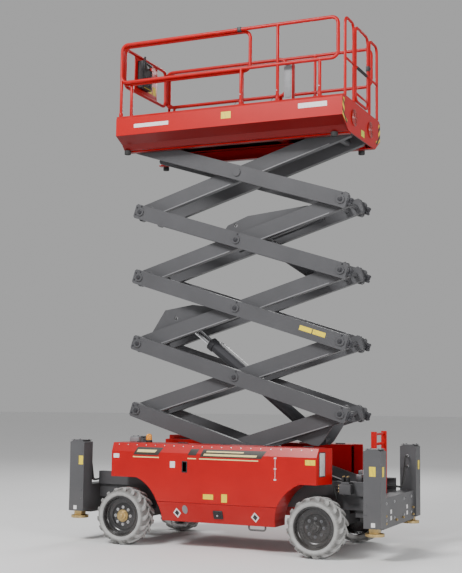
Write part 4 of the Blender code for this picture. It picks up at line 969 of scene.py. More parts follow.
class LIFT_OT_covers(bpy.types.Operator):
    """Labels, latches, lamps, screws and tie-down marks of the side covers"""

    bl_idname = "lift.covers"
    bl_label = "Covers"

    def execute(self, context):
        settings = context.scene.lift_covers
        wall = settings.label_wall
        for side, sign in SIDES:
            hood = f"{side}_hood"
            for name, finish, *spans in COVER_LABELS:
                label_piece = patch(sign, *spans, wall * (2 if "bar" in name else 1))
                done(label_piece, f"{side}_{name}", finish, hood)
            self.hardware(side, sign, hood, settings)
            self.skirt(side, sign)
        return {"FINISHED"}

    def hardware(self, side, sign, hood, settings):
        near = sign * COVER_Y
        bezel = block((-0.424, near - 0.004, 0.862), (-0.354, near + 0.006, 0.992), 0.004, 3)
        sink(bezel, (0, sign, 0), 0.004, 0.008, 0.004)
        paddle = block((-0.410, near + 0.001, 0.885), (-0.368, near + 0.0055, 0.955), 0.002)
        key = stub((-0.389, near + 0.001, 0.972), (0, 0.004, 0), 0.007, 16, 0.001, 0.002)
        done([bezel, paddle, key], f"{side}_latch", "black", hood)
        z, spots = 1.158, []
        screw = drum((0, 0, 0), (0, 0, 0.003), 0.006, 12, 0.0008, 0.002)
        outward = Vector((0, sign * BAND_NORMAL.y, BAND_NORMAL.z))
        aim = outward.to_track_quat("Z", "Y").to_matrix().to_4x4()
        for step in range(int(2.42 / settings.screw_pitch) + 1):
            spot = Vector((-1.27 + step * settings.screw_pitch, sign * skin(z), z))
            spots.append(Matrix.Translation(spot) @ aim)
        done(copies(screw, spots), f"{side}_cover_screws", "steel", hood)
        low_y, high_y = near - sign * 0.001, near + sign * 0.0035
        lip = block((-0.66, low_y, 0.523), (0.66, high_y, 0.531), 0.0015)
        done(lip, f"{side}_cover_lip", "red", hood)
        bezel, glass = corner_lamp(sign)
        done(bezel, f"{side}_lamp_bezel", "dark", hood)
        done(glass, f"{side}_lamp_glass", "lamp", hood)
        mark = [patch(sign, 0.820, 1.072, (0.727, 0.731), (0.727, 0.731))]
        for z in (0.826, 0.945, 1.062):
            mark.append(patch(sign, z - 0.008, z + 0.008, (0.715, 0.743), (0.715, 0.743)))
        done(mark, f"{side}_height_mark", "white", hood)

    def skirt(self, side, sign):
        for part, finish, width, height, wall in (
            ("rims", "white", 0.050, 0.058, 0.0010), ("marks", "black", 0.030, 0.036, 0.0018),
        ):
            lozenges = [medallion(sign, x, 0.398, width, height, 4, wall) for x in TIE_DOWN_X]
            done(lozenges, f"{side}_tie_down_{part}", finish, "chassis")
        oval = medallion(sign, -0.387, 0.443, 0.034, 0.050, 24, 0.004)
        done(oval, f"{side}_oval_plug", "silver", "chassis")
        spot = Vector((0.024, sign * skin(0.403), 0.403))
        tilt = about(spot, "X", -sign * math.atan2(0.08, 0.22))
        reach = Vector((0.060, 0.012, 0.051))
        case = block(spot - reach, spot + reach, 0.010, 3)
        cap = stub(spot, (0, sign * 0.022, 0), 0.034, 24, 0.003, 0.006)
        done(settle(joined([case, cap]), tilt), f"{side}_socket", "black", "chassis")
        knob = stub(spot, (0, sign * 0.030, 0), 0.011, 16, 0.002)
        done(settle(knob, tilt), f"{side}_socket_knob", "steel", "chassis")


# -------------------------------------------------------------------- chassis

# The inner and the outer face of an outrigger's case, and the thickness of its labels.
OUTRIGGER_X, LABEL = (1.7403, 1.935), 0.001


class LIFT_OT_chassis(bpy.types.Operator):
    """Loops, beacon, alarm, hoses and the labels of the outriggers"""

    bl_idname = "lift.chassis"
    bl_label = "Chassis"

    def execute(self, context):
        settings = context.scene.lift_chassis
        self.loops(settings)
        self.beacon()
        self.hinges()
        for end, way in ENDS:
            for side, sign in SIDES:
                self.outrigger(f"{end}_{side}", way, sign, settings)
            self.end_beam(end, way)
        for side, sign in SIDES:
            self.manifold(side, sign, settings)
        self.ladder()
        return {"FINISHED"}

    def loops(self, settings):
        made = []
        for _, sign in SIDES:
            for middle in TIE_DOWN_X:
                y = sign * 0.735
                corners = [(middle + x, y, z) for x, z in (
                    (-0.10, 0.315), (-0.10, 0.252), (0.10, 0.252), (0.10, 0.315),
                )]
                made.append(tube(bent(corners, 0.025), settings.loop_rod))
        done(made, "tie_down_loops", "frame", "chassis")

    def beacon(self):
        low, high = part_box("beacon")
        foot = Vector(((low.x + high.x) / 2, (low.y + high.y) / 2, low.z))
        reach = (high.x - low.x) / 2
        base = spun(foot, "Z", [(z, reach * share) for z, share in (
            (0.0003, 0), (0.0003, 1), (0.016, 1), (0.020, 0.92), (0.026, 0.92), (0.026, 0),
        )], 32)
        dome = spun(foot, "Z", [(z, reach * share) for z, share in (
            (0.024, 0), (0.024, 0.86), (0.030, 0.88), (0.070, 0.86), (0.086, 0.78),
            (0.096, 0.55), (0.0998, 0.25), (0.0998, 0),
        )], 32)
        done(base, "beacon_base", "black", "chassis")
        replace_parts(done(dome, "beacon_dome", "amber", "chassis"), "beacon")
        case = block((-1.27, -0.556, low.z), (-1.15, -0.484, low.z + 0.062), 0.006, 3)
        sink(case, (0, 0, 1), 0.003, 0.010, 0.004)
        done(case, "alarm_case", "grey_plastic", "chassis")

    def outrigger(self, name, way, sign, settings):
        """Labels, cap, bolts, fittings, hoses and valve block of one outrigger."""
        x, y = way * OUTRIGGER_X[1], sign * 0.83
        middle_x, middle_y, inside = way * sum(OUTRIGGER_X) / 2, sign * 0.73, sign * 0.63
        near, far = (1.805, 1.875) if way > 0 else (-1.81, -1.752)
        high = sticker((near, y, 0.905), (far, y + sign * LABEL, 1.008))
        end = sticker((x, sign * 0.717, 0.900), (x + way * LABEL, sign * 0.783, 1.006))
        done([high, end], f"{name}_leg_warnings", "yellow", "chassis")
        low_x = middle_x + way * 0.01
        low = sticker((low_x - 0.022, y, 0.372), (low_x + 0.022, y + sign * LABEL, 0.418))
        done(low, f"{name}_leg_notice", "white", "chassis")
        top = Vector((middle_x, middle_y, 1.19))
        cap = block(top - Vector((0.090, 0.092, 0)), top + Vector((0.090, 0.092, 0.005)), 0.002)
        bolts = [
            bolt(top + Vector((a * 0.062, b * 0.064, 0.005)), (0, 0, 1), 0.009, 0.007)
            for a in (-1, 1) for b in (-1, 1)
        ]
        bolts += [
            bolt((middle_x - way * 0.070, y, z), (0, sign, 0), 0.008, 0.006) for z in (0.50, 0.60)
        ]
        done([cap, *bolts], f"{name}_leg_cap", "frame", "chassis")
        fittings, hoses = [], []
        for z, spread in ((1.06, 0.0), (0.94, 0.035)):
            spot = (middle_x, inside, z)
            fittings.append(stub(spot, (0, -sign * 0.030, 0), 0.016, 16, 0.003))
            hoses.append(tube(bent([
                (middle_x, inside - sign * 0.02, z), (middle_x, inside - sign * (0.10 + spread), z),
                (middle_x - way * 0.03, inside - sign * (0.11 + spread), 0.70),
                (way * 1.62, sign * (0.30 - spread), 0.74),
                (way * 1.60, sign * (0.28 - spread), 0.842),
                (way * 1.56, sign * (0.28 - spread), 0.842),
            ], 0.035), settings.hose, sides=8))
        done(fittings, f"{name}_leg_fittings", "steel", "chassis")
        done(hoses, f"{name}_leg_hoses", "hose", "chassis")
        valve = block((way * 1.50, sign * 0.20, 0.800), (way * 1.565, sign * 0.33, 0.885), 0.005)
        coils = [
            stub((way * 1.5325, sign * y, 0.885), (0, 0, 0.045), 0.013, inset=0.003)
            for y in (0.225, 0.265, 0.305)
        ]
        done([valve, *coils], f"{name}_valve_block", "stud", "chassis")

    def hinges(self):
        """The barrel hinges that the side covers turn on."""
        for side, sign in SIDES:
            knuckles = []
            for x in (-1.10, -0.55, 0.0, 0.55, 1.02):
                for start, end in ((-0.060, -0.022), (-0.020, 0.020), (0.022, 0.060)):
                    spot = (x + start, sign * 0.565, 1.1815)
                    knuckles.append(stub(spot, (end - start, 0, 0), 0.010, soft=0.001))
            done(knuckles, f"{side}_cover_hinges", "dark", "chassis")

    def end_beam(self, end, way):
        """Bolts, hose fittings and small labels on an end beam's outer face."""
        x, out = way * 1.905, Vector((way, 0, 0))
        heads, fittings, notices = [], [], []
        for _, sign in SIDES:
            for y, z in ((0.20, 0.60), (0.20, 0.42), (0.52, 0.60), (0.52, 0.42)):
                heads.append(bolt((x, sign * y, z), out, 0.012, 0.009))
            for y, z in ((0.57, 0.47), (0.57, 0.39), (0.14, 0.395)):
                fittings.append(stub((x, sign * y, z), out * 0.022, 0.013, inset=0.003))
            for z in (0.405, 0.475):
                y = sign * 0.335
                notices.append(sticker((x, y - 0.028, z), (x + way * LABEL, y + 0.028, z + 0.045)))
        done(heads, f"{end}_beam_bolts", "steel", "chassis")
        done(fittings, f"{end}_beam_fittings", "gold", "chassis")
        done(notices, f"{end}_beam_notices", "white", "chassis")

    def manifold(self, side, sign, settings):
        """The hydraulic manifold that hangs on the rear cross member, with its hoses."""
        y = sign * 0.541
        made = [
            block((1.385, y - 0.049, 0.680), (1.5195, y + 0.049, 0.790), 0.006),
            block((1.405, y - 0.039, 0.790), (1.500, y + 0.039, 0.815), 0.004),
        ]
        coils, tips, hoses = [], [], []
        for x in (1.425, 1.475):
            for offset in (-0.022, 0.022):
                coils.append(stub((x, y + offset, 0.815), (0, 0, 0.050), 0.017, 16, 0.003, 0.004))
                tips.append(stub((x, y + offset, 0.865), (0, 0, 0.014), 0.008, soft=0.001))
        for z, reach in ((0.705, 0.045), (0.740, 0.057), (0.770, 0.069)):
            x = 1.387 - reach
            corners = [(1.387, y, z), (x, y, z), (x, y, z - 0.10), (x, y - sign * 0.049, z - 0.10)]
            hoses.append(tube(bent(corners, 0.025), settings.hose * 0.8, sides=8))
            tips.append(stub((1.386, y, z), (-0.020, 0, 0), 0.012))
        done(made, f"{side}_manifold", "frame", "chassis")
        done(coils, f"{side}_manifold_coils", "black", "chassis")
        done(tips, f"{side}_manifold_tips", "gold", "chassis")
        done(hoses, f"{side}_manifold_hoses", "hose", "chassis")

    def ladder(self):
        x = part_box("ladder")[0].x + 0.030
        grips = [
            stub((x, offset * 0.032 - 0.004, 0.62 + step * 0.20), (0, 0.008, 0), 0.0165, soft=0.001)
            for step in range(4) for offset in range(-5, 6)
        ]
        done(grips, "ladder_grips", "red", "chassis")


# -------------------------------------------------------------------- scissor

ARM_LENGTH, ARM_ANGLE = 2.744, math.radians(17.37)
REAR_PIN_X, LOW_PIN_Z = 1.324, 0.734
FRONT_PIN_X = REAR_PIN_X - ARM_LENGTH * math.cos(ARM_ANGLE)
STAGE_RISE = ARM_LENGTH * math.sin(ARM_ANGLE)
INNER_FACE_Y, OUTER_FACE_Y = 0.28, 0.37
STAGES = 5
# Name, base pin and rod eye as (x, z), length and radius of each cylinder's barrel.
CYLINDERS = (
    ("lower", (0.994, 1.237), (-0.850, 2.689), 1.86, 0.07),
    ("upper", (0.939, 3.134), (-0.063, 3.80), 0.97, 0.06),
)


def arm_place(stage, inner):
    """The frame of an arm: x along it from its lower pin, z square to it."""
    way = 1 if inner else -1
    x = FRONT_PIN_X if inner else REAR_PIN_X
    cos, sin = math.cos(ARM_ANGLE), math.sin(ARM_ANGLE)
    z = LOW_PIN_Z + (stage - 1) * STAGE_RISE
    return Matrix((
        (way * cos, 0, -way * sin, x), (0, 1, 0, 0), (sin, 0, cos, z), (0, 0, 0, 1),
    ))


def laid(piece, matrix):
    """Puts a piece modelled along an arm in its place, with its faces outwards."""
    settle(piece, matrix)
    with editing(piece):
        face_out()
    return piece


def keeper(along, sign, height):
    """The bolt, washer and lock tab on the cap of a pin."""
    y = sign * (OUTER_FACE_Y + 0.015)
    washer = stub((along, y, 0), (0, sign * 0.003, 0), 0.030, 20, 0.001)
    head = bolt((along, y + sign * 0.003, 0), (0, sign, 0), 0.019, 0.012)
    tab = bolt((along, sign * OUTER_FACE_Y, height * 0.72), (0, sign, 0), 0.008, 0.006)
    return [washer, head, tab]


class LIFT_OT_scissor(bpy.types.Operator):
    """Pin keepers, end brackets, labels and oil pipes of the scissor stack"""

    bl_idname = "lift.scissor"
    bl_label = "Scissor"

    def execute(self, context):
        settings = context.scene.lift_scissor
        for stage in range(1, STAGES + 1):
            self.outer(stage, settings)
            self.inner(stage)
        self.labels()
        for name, *sizes in CYLINDERS:
            self.pipes(name, *sizes, settings)
        return {"FINISHED"}

    def outer(self, stage, settings):
        made, ends, spots = [], [], []
        if 1 < stage < STAGES:
            # Lower or higher up, it would meet the chassis or the deck with the stack lowered.
            spots.append(ARM_LENGTH / 2)
        if stage > 1:
            spots.append(0.0)
        if stage < STAGES:
            spots.append(ARM_LENGTH)
        for _, sign in SIDES:
            for along in spots:
                made += keeper(along, sign, settings.keeper)
            if stage > 1:
                ends += self.bracket(sign)
            if stage < STAGES:
                for z in (-0.045, 0.045):
                    spot = (ARM_LENGTH + 0.055, sign * OUTER_FACE_Y, z)
                    ends.append(bolt(spot, (0, sign, 0), 0.008, 0.006))
        for part, pieces in (("keepers", made), ("brackets", ends)):
            piece = laid(joined(pieces), arm_place(stage, False))
            done(piece, f"outer_arm_{part}_{stage}", "dark", f"outer_arms_{stage}")

    def bracket(self, sign):
        """A hose guide beyond an arm's end: a plate, two clamps and a bolt."""
        near, far = sorted((sign * 0.300, sign * 0.365))
        foot = block((-0.105, near, -0.045), (-0.078, far, 0.050), 0.005)
        arm = block((-0.142, near + 0.012, -0.012), (-0.095, far - 0.012, 0.020), 0.004)
        clamps = [
            drum((-0.124, near - 0.004, z), (-0.124, far + 0.004, z), 0.018, 16, 0.003, 0.004)
            for z in (-0.030, 0.030)
        ]
        return [foot, arm, *clamps, bolt((-0.092, sign * 0.365, 0), (0, sign, 0), 0.010, 0.008)]

    def inner(self, stage):
        strips, caps = [], []
        for _, sign in SIDES:
            y, wall = sign * INNER_FACE_Y, sign * 0.0025
            # Pale strips along the lower edge of each inner arm's face: a painted highlight where
            # that edge catches the light.
            for start, end in ((0.20, 1.22), (1.53, ARM_LENGTH - 0.20)):
                strips.append(block((start, y, -0.086), (end, y + wall, -0.074), 0.0008, 1))
            for along in (0.11, ARM_LENGTH - 0.11):
                caps.append(stub((along, y, 0), (0, sign * 0.004, 0), 0.045, 24, inset=0.008))
        place = arm_place(stage, True)
        body = f"inner_arms_{stage}"
        done(laid(joined(strips), place), f"inner_arm_painted_highlights_{stage}", "silver", body)
        done(laid(joined(caps), place), f"inner_arm_caps_{stage}", "arm", body)

    def labels(self):
        made = []
        for _, sign in SIDES:
            y = sign * OUTER_FACE_Y
            for start in (0.190, 0.362):
                opposite = (start + 0.160, y + sign * LABEL, 0.041)
                made.append(sticker((start, y, -0.014), opposite))
        done(laid(joined(made), arm_place(3, False)), "arm_warnings", "yellow", "outer_arms_3")

    def pipes(self, name, base, eye, length, radius, settings):
        """The gland, the base ring and an oil pipe beside a barrel."""
        base, eye = Vector((base[0], 0, base[1])), Vector((eye[0], 0, eye[1]))
        way = (eye - base).normalized()
        square = Vector((-way.z, 0, way.x)) * (-1 if way.x < 0 else 1)
        body = f"{name}_barrel"

        def on(*rows):
            """Points at distances along the barrel and out from its wall."""
            return [base + way * along + square * (radius + out) for along, out in rows]

        gland = turned(on(
            (length - 0.07, 0), (length - 0.07, 0.010), (length - 0.006, 0.010),
            (length, 0.004), (length, -0.012),
        ), base, way, 32)
        ring = turned(on((0.10, 0), (0.10, 0.008), (0.15, 0.008), (0.155, 0)), base, way, 32)
        done([gland, ring], f"{name}_cylinder_gland", "dark", body)
        start, end = length * 0.45, length - 0.11
        corners = on((start, -0.004), (start, 0.024), (end, 0.024), (end, -0.004))
        pipe = tube(bent(corners, 0.014), settings.pipe, sides=8)
        ports = [
            drum(*on((along, -0.004), (along, 0.012)), 0.014, 12) for along in (start, end)
        ]
        done([pipe, *ports], f"{name}_cylinder_oil_pipe", "steel", body)


# ------------------------------------------------------------------- platform

PLATFORM_Z = LOW_PIN_Z + STAGES * STAGE_RISE
BEAM_TOP = PLATFORM_Z + 0.325
RAIL_TOP, RAIL_MID = PLATFORM_Z + 1.249, PLATFORM_Z + 0.77
REAR_X, RAIL_Y = 1.47, 0.645
GATE_X = REAR_X - 0.0075
POST_FOOT = BEAM_TOP + 0.0003
POSTS_X, SLIDE_POSTS_X = (0.180, 0.645, 1.165), (-1.330, 0.170)
FRONT_X, SLIDE_TOP, SLIDE_MID = -1.452, RAIL_TOP - 0.014, RAIL_MID - 0.014
# The bend and the radius of the tubes at the rear end.
END_BEND, END_ROD = 0.08, 0.017
# The outline of a warning strip on the rear face, as (y, z).
REAR_STRIP = (
    (0.737, 5.112), (0.737, 4.908), (0.588, 4.835), (0.560, 4.872), (0.672, 4.930), (0.672, 5.112),
)


class LIFT_OT_platform(bpy.types.Operator):
    """Warning strips, buffers, feet and labels of the platform"""

    bl_idname = "lift.platform"
    bl_label = "Platform"

    def execute(self, context):
        settings = context.scene.lift_platform
        self.rear_end(settings)
        self.beam_labels()
        self.feet()
        return {"FINISHED"}

    def rear_end(self, settings):
        strips, buffers, bumpers = [], [], []
        reach = settings.buffer
        rows, radius = [(0, reach), (0.010, reach), (0.014, reach - 0.004)], reach - 0.008
        while radius > 0.012:
            rows += [(0.011, radius), (0.016, radius - 0.004)]
            radius -= 0.010
        rows.append((0.014, 0))
        for _, sign in SIDES:
            points = [(REAR_X, sign * y, z) for y, z in REAR_STRIP]
            strips.append(plate(points, (0.001, 0, 0)))
            buffers.append(spun((REAR_X, sign * 0.318, 4.963), "X", rows, 48))
            for x in (-1.405, 1.30):
                foot = (x, sign * 0.520, PLATFORM_Z - 0.0635)
                bumpers.append(stub(foot, (0, 0, -0.052), 0.040, 20, 0.005, 0.008))
        done(strips, "rear_warning_strips", "hazard", "platform")
        done(buffers, "rear_buffers", "reflector", "platform")
        done(bumpers, "rest_bumpers", "rubber", "platform")
        notice = sticker((REAR_X, -0.040, 4.812), (REAR_X + LABEL, 0.085, 4.888))
        done(notice, "rear_notice", "lime", "platform")

    def beam_labels(self):
        names, notices = [], []
        for _, sign in SIDES:
            for made, x0, z0, x1, z1 in (
                (names, 0.938, 5.020, 1.287, 5.078), (names, -1.200, 4.988, -0.730, 5.034),
                (notices, -0.031, 4.990, 0.095, 5.072),
            ):
                made.append(sticker((x0, sign * 0.742, z0), (x1, sign * 0.743, z1)))
        done(names, "beam_name_blanks", "white", "platform")
        done(notices, "beam_notices", "yellow", "platform")

    def feet(self):
        for name, body, spots, y, half_width, radius in (
            ("rail_feet", "platform", (-1.441, *POSTS_X), RAIL_Y, 0.026, 0.0245),
            ("extension_rail_feet", "extension", SLIDE_POSTS_X, 0.5815, 0.0205, 0.0205),
        ):
            made = []
            for _, sign in SIDES:
                for x in spots:
                    made += self.foot(Vector((x, sign * y, BEAM_TOP)), half_width, radius)
            done(made, name, "rail", body)

    def foot(self, spot, half_width, radius):
        """A post's collar with a bolt before and behind it."""
        reach = Vector((0.048, half_width, 0))
        collar = block(spot - reach, spot + reach + Vector((0, 0, 0.010)))
        socket = stub(spot + Vector((0, 0, 0.008)), (0, 0, 0.052), radius, 20, 0.003)
        heads = [
            bolt(spot + Vector((x, 0, 0.010)), (0, 0, 1), 0.008, 0.007) for x in (-0.036, 0.036)
        ]
        return [collar, socket, *heads]


class LIFT_OT_rails(bpy.types.Operator):
    """Round tubes, posts and clamps in place of the faceted guard rails"""

    bl_idname = "lift.rails"
    bl_label = "Rails"

    def execute(self, context):
        settings = context.scene.lift_platform
        for side, sign in SIDES:
            self.side_rail(side, sign, settings)
            self.end_rail(side, sign)
            self.sliding_rail(side, sign, settings)
        self.front_rail(settings)
        self.gate()
        self.lanyards()
        return {"FINISHED"}

    def swap(self, made, node, body):
        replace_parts(done(joined(made), f"{node}_tubes", "rail", body, 50), node)

    def loop(self, corners, radius, bend):
        return tube(bent(corners, bend, True), radius, True, 20)

    def post(self, x, y, top):
        return drum((x, y, POST_FOOT), (x, y, top), 0.019, 20, 0.001)

    def side_rail(self, side, sign, settings):
        y, front, rear = sign * RAIL_Y, -1.441, 1.386
        corners = [(x, y, z) for x, z in (
            (front, RAIL_TOP), (rear, RAIL_TOP), (rear, RAIL_MID), (front, RAIL_MID),
        )]
        made = [self.loop(corners, settings.rail, settings.bend)]
        for x, top in (
            (front, RAIL_MID + 0.08), (POSTS_X[0], RAIL_MID), (POSTS_X[2], RAIL_MID),
            (POSTS_X[1], RAIL_TOP),
        ):
            made.append(self.post(x, y, top))
        self.swap(made, f"{side}_guard_rail", "platform")

    def end_rail(self, side, sign):
        out_y, in_y = sign * 0.625, sign * 0.31
        corners = [(GATE_X, y, z) for y, z in (
            (out_y, POST_FOOT), (out_y, RAIL_TOP), (in_y, RAIL_TOP), (in_y, POST_FOOT),
        )]
        made = [tube(bent(corners, END_BEND), END_ROD, sides=20)]
        made.append(self.bar(out_y, in_y, RAIL_MID))
        if sign < 0:
            for z in (PLATFORM_Z + 0.50, PLATFORM_Z + 0.87):
                opposite = (GATE_X + 0.0098, -0.2623, z + 0.03)
                made.append(block((GATE_X - 0.0098, in_y, z), opposite))
        self.swap(made, f"rear_{side}_guard_rail", "platform")

    def bar(self, start_y, end_y, z):
        return drum((GATE_X, start_y, z), (GATE_X, end_y, z), 0.014, 16, 0.001)

    def sliding_rail(self, side, sign, settings):
        y, rear = sign * 0.585, 0.270
        corners = [(x, y, z) for x, z in (
            (FRONT_X, SLIDE_TOP), (rear, SLIDE_TOP), (rear, SLIDE_MID), (FRONT_X, SLIDE_MID),
        )]
        made = [self.loop(corners, settings.rail, settings.bend)]
        made += [self.post(x, y, SLIDE_MID) for x in SLIDE_POSTS_X]
        self.swap(made, f"extension_{side}_rail", "extension")

    def front_rail(self, settings):
        x, half, low, high = FRONT_X, 0.5459, SLIDE_MID, SLIDE_TOP
        corners = [(x, -half, low), (x, -half, high), (x, half, high), (x, half, low)]
        made = [self.loop(corners, settings.rail, settings.bend)]
        made.append(block((x - 0.006, -0.30, low), (x + 0.006, 0.30, high)))
        for y in (-0.27, 0.27):
            for z in (low + 0.05, high - 0.05):
                made.append(bolt((x + 0.006, y, z), (1, 0, 0), 0.008, 0.006))
        self.swap(made, "extension_front_rail", "extension")

    def gate(self):
        x, half, low = GATE_X, 0.245, PLATFORM_Z + 0.36
        corners = [(x, -half, low), (x, -half, RAIL_TOP), (x, half, RAIL_TOP), (x, half, low)]
        made = [self.loop(corners, END_ROD, END_BEND)]
        made += [self.bar(-half, half, z) for z in (PLATFORM_Z + 0.45, RAIL_MID)]
        self.swap(made, "gate", "gate")

    def lanyards(self):
        """Locking pins through the posts, their wires, and the clamps of the top rails."""
        pins, wires, clamps = [], [], []
        for _, sign in SIDES:
            y, z = sign * RAIL_Y, BEAM_TOP + 0.13
            for x in POSTS_X:
                pins.append(stub((x, y - 0.028, z), (0, 0.056, 0), 0.006, 10, 0.001))
                path = [
                    (x, y - sign * 0.024, z), (x - 0.045, y - sign * 0.026, z - 0.055),
                    (x - 0.075, y - sign * 0.010, z - 0.095), (x - 0.085, y, z - 0.129),
                ]
                wires.append(tube(bent(path, 0.020, steps=4), 0.0028, sides=4))
                pins.append(bolt((x - 0.085, y, BEAM_TOP), (0, 0, 1), 0.007, 0.004))
            top, corner = RAIL_TOP + 0.025, (0.130, y - 0.027, RAIL_TOP - 0.026)
            clamps.append(block(corner, (0.182, y + 0.027, top), 0.006))
            clamps.append(bolt((0.156, y, top), (0, 0, 1), 0.007, 0.005))
        done(pins, "locking_pins", "steel", "platform")
        done(wires, "locking_wires", "hose", "platform")
        done(clamps, "rail_clamps", "black", "platform")


class LIFT_OT_controls(bpy.types.Operator):
    """Control box, console, gate latch and grips"""

    bl_idname = "lift.controls"
    bl_label = "Controls"

    def execute(self, context):
        self.box()
        self.console()
        self.gate()
        return {"FINISHED"}

    def box(self):
        low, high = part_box("control_box")
        panel, middle = high.x + 0.006, (low.y + high.y) / 2
        rim = Vector((0, 0.012, 0.012))
        case = block(
            Vector((high.x - 0.006, low.y, low.z)) + rim,
            Vector((high.x + 0.010, high.y, high.z)) - rim, 0.005, 3,
        )
        sink(case, (1, 0, 0), 0.02, 0.010, 0.004)
        keys = []
        for row in range(3):
            for column in range(3):
                spot = (panel, middle - 0.06 + 0.06 * column, low.z + 0.055 + 0.048 * row)
                keys.append(stub(spot, (0.007, 0, 0), 0.012, 16, 0.002, 0.003))
        foot = (low.x + 0.040, middle, high.z)
        boot = spun(foot, "Z", (
            (-0.001, 0), (-0.001, 0.030), (0.008, 0.026), (0.012, 0.020), (0.020, 0.016),
            (0.026, 0.008), (0.026, 0),
        ), 24)
        grip = spun(foot, "Z", (
            (0.020, 0), (0.020, 0.010), (0.050, 0.009), (0.064, 0.015), (0.080, 0.014),
            (0.086, 0.006), (0.087, 0),
        ), 24)
        done([case, *keys, boot, grip], "control_box_panel", "black", "extension")
        stop = spun((panel, middle + 0.060, high.z - 0.075), "X", (
            (0, 0.014), (0.010, 0.014), (0.012, 0.022), (0.018, 0.022), (0.021, 0.016),
            (0.022, 0),
        ), 24)
        done(stop, "platform_stop_button", "knob", "extension")
        corner = (panel, middle - 0.075, high.z - 0.105)
        screen = block(corner, (panel + 0.003, middle + 0.020, high.z - 0.045), 0.001)
        done(screen, "control_screen", "stripe", "extension")
        # Labels on the plate beside the box.
        x = low.x - 0.0003
        notes = [
            sticker((x, y, z), (x + LABEL, y + 0.090, z + 0.110))
            for y, z in ((0.060, 5.66), (0.175, 5.66), (0.060, 5.80))
        ]
        notes.append(block(
            (high.x + 0.0005, low.y + 0.03, low.z + 0.004),
            (high.x + 0.0012, high.y - 0.03, low.z + 0.011), 0.0002, 1,
        ))
        done(notes, "control_notices", "yellow", "extension")

    def console(self):
        """Edge, door, rib, glands and switch of the console, which is narrower than its box."""
        low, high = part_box("platform_console")
        near, far = -0.58, -0.50

        def panel(x0, x1, y0, y1, z0, z1):
            return block((x0, y0, z0), (x1, y1, z1), 0.003)

        edge = panel(
            high.x - 0.002, high.x + 0.006, near - 0.004, far + 0.004, low.z + 0.004,
            high.z - 0.004,
        )
        done(edge, "console_edge", "rail", "platform")
        door = panel(
            low.x + 0.010, high.x - 0.010, far - 0.002, far + 0.006, low.z + 0.020, low.z + 0.260,
        )
        rib = panel(
            low.x + 0.012, high.x - 0.012, near - 0.005, near + 0.002, low.z + 0.03, low.z + 0.36,
        )
        glands = [
            stub((low.x + x, -0.54, low.z + 0.001), (0, 0, -0.021), 0.011) for x in (0.03, 0.07)
        ]
        done([door, rib, *glands], "console_door", "grey_plastic", "platform")
        spot = ((low.x + high.x) / 2, far, low.z + 0.330)
        switch = stub(spot, (0, 0.018, 0), 0.018, 24, 0.004, 0.004)
        done(switch, "console_switch", "black", "platform")

    def gate(self):
        x, z = GATE_X, RAIL_MID + 0.10
        # A black rubber grip on the gate's mid bar, where that bar looks dark: partly a real grip,
        # partly painted shade.
        bar = drum((x, -0.19, RAIL_MID), (x, 0.19, RAIL_MID), 0.0185, 20, 0.004)
        done(bar, "gate_grip_and_painted_shade", "rubber", "gate")
        latch = block((x - 0.016, 0.216, z - 0.030), (x + 0.024, 0.262, z + 0.030), 0.004)
        knob = stub((x + 0.020, 0.239, z), (0.020, 0, 0), 0.012, 16, 0.003)
        done([latch, knob], "gate_latch", "black", "gate")


# ---------------------------------------------------------------------- stage

CAMERA_PLACE = (5.2778, -12.2296, 1.7513)
CAMERA_YAW, CAMERA_PITCH, CAMERA_ROLL = (math.radians(angle) for angle in (24.157, 5.664, 0.678))


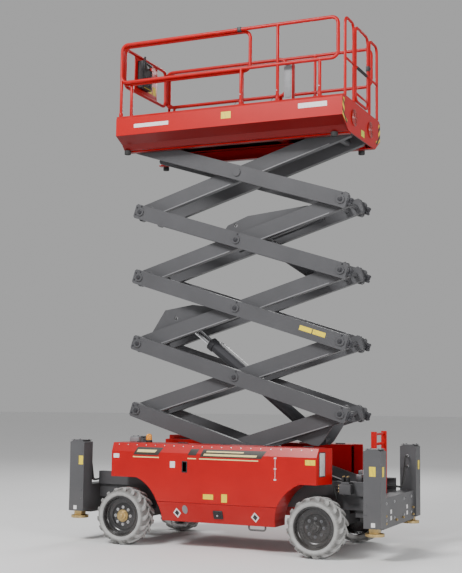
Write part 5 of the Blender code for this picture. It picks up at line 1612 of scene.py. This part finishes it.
class LIFT_OT_stage(bpy.types.Operator):
    """A pale floor, soft lights and the camera"""

    bl_idname = "lift.stage"
    bl_label = "Stage"

    def execute(self, context):
        settings = context.scene.lift_stage
        bare()
        bpy.ops.mesh.primitive_circle_add(vertices=96, radius=90.0, fill_type="NGON")
        floor = bpy.context.object
        floor.name = "pale_floor"
        finish = Finish("pale_floor")
        cloudy = finish.noise(0.8, 3.0)
        shade = finish.mix(cloudy, (0.86, 0.86, 0.86), (0.90, 0.90, 0.90))
        floor.data.materials.append(finish.surface(shade, 0.75 + 0.1 * cloudy))
        world = bpy.data.worlds.new("pale_room")
        world.use_nodes = True
        background = world.node_tree.nodes["Background"]
        background.inputs["Color"].default_value = (1.0, 1.0, 1.0, 1.0)
        background.inputs["Strength"].default_value = 0.42
        context.scene.world = world
        for name, place, aim, power, size in (
            ("key", (-3.0, -10.0, 11.0), (0, 0, 2.6), settings.key, 4.0),
            ("fill", (10.0, -6.0, 5.0), (0, 0, 2.5), settings.key * 0.35, 5.0),
            ("back", (-2.0, 10.0, 9.0), (0, 0, 3.0), settings.key * 0.35, 5.0),
        ):
            lamp = bpy.data.lights.new(name, "AREA")
            lamp.energy, lamp.size, lamp.shape = power, size, "DISK"
            holder = bpy.data.objects.new(name, lamp)
            holder.location = place
            aim_way = Vector(aim) - Vector(place)
            holder.rotation_euler = aim_way.to_track_quat("-Z", "Y").to_euler()
            context.scene.collection.objects.link(holder)
        self.camera(context, settings)
        return {"FINISHED"}

    def camera(self, context, settings):
        yaw, pitch, roll = CAMERA_YAW, CAMERA_PITCH, CAMERA_ROLL
        forward = Vector((
            -math.sin(yaw) * math.cos(pitch), math.cos(yaw) * math.cos(pitch), math.sin(pitch),
        ))
        right = Vector((math.cos(yaw), math.sin(yaw), 0))
        up = right.cross(forward)
        tilted = right * math.cos(roll) + up * math.sin(roll)
        upward = up * math.cos(roll) - right * math.sin(roll)
        view = bpy.data.cameras.new("view")
        view.lens, view.sensor_width, view.clip_end = settings.focal, 36.0, 500.0
        holder = bpy.data.objects.new("view", view)
        axes = Matrix((tilted, upward, -forward)).transposed().to_4x4()
        holder.matrix_world = Matrix.Translation(CAMERA_PLACE) @ axes
        context.scene.collection.objects.link(holder)
        context.scene.camera = holder


class LIFT_PT_panel(bpy.types.Panel):
    """Lists the lift's steps and settings"""

    bl_idname = "LIFT_PT_panel"
    bl_label = "Scissor Lift"
    bl_space_type = "VIEW_3D"
    bl_region_type = "UI"
    bl_category = "Lift"

    def draw(self, context):
        for operator in OPERATORS:
            self.layout.operator(operator.bl_idname)
        for name, group in SETTINGS:
            settings = getattr(context.scene, name)
            column = self.layout.column(align=True)
            for key in group.__annotations__:
                column.prop(settings, key)


OPERATORS = (
    LIFT_OT_finishes, LIFT_OT_wheels, LIFT_OT_covers, LIFT_OT_chassis, LIFT_OT_scissor,
    LIFT_OT_platform, LIFT_OT_rails, LIFT_OT_controls, LIFT_OT_stage,
)
CLASSES = (*(group for _, group in SETTINGS), *OPERATORS, LIFT_PT_panel)


def register():
    for cls in CLASSES:
        bpy.utils.register_class(cls)
    for name, group in SETTINGS:
        setattr(bpy.types.Scene, name, bpy.props.PointerProperty(type=group))


def unregister():
    for name, _ in SETTINGS:
        delattr(bpy.types.Scene, name)
    for cls in reversed(CLASSES):
        bpy.utils.unregister_class(cls)


def main():
    register()
    for operator in OPERATORS:
        group, name = operator.bl_idname.split(".")
        getattr(getattr(bpy.ops, group), name)()


if __name__ == "__main__":
    main()
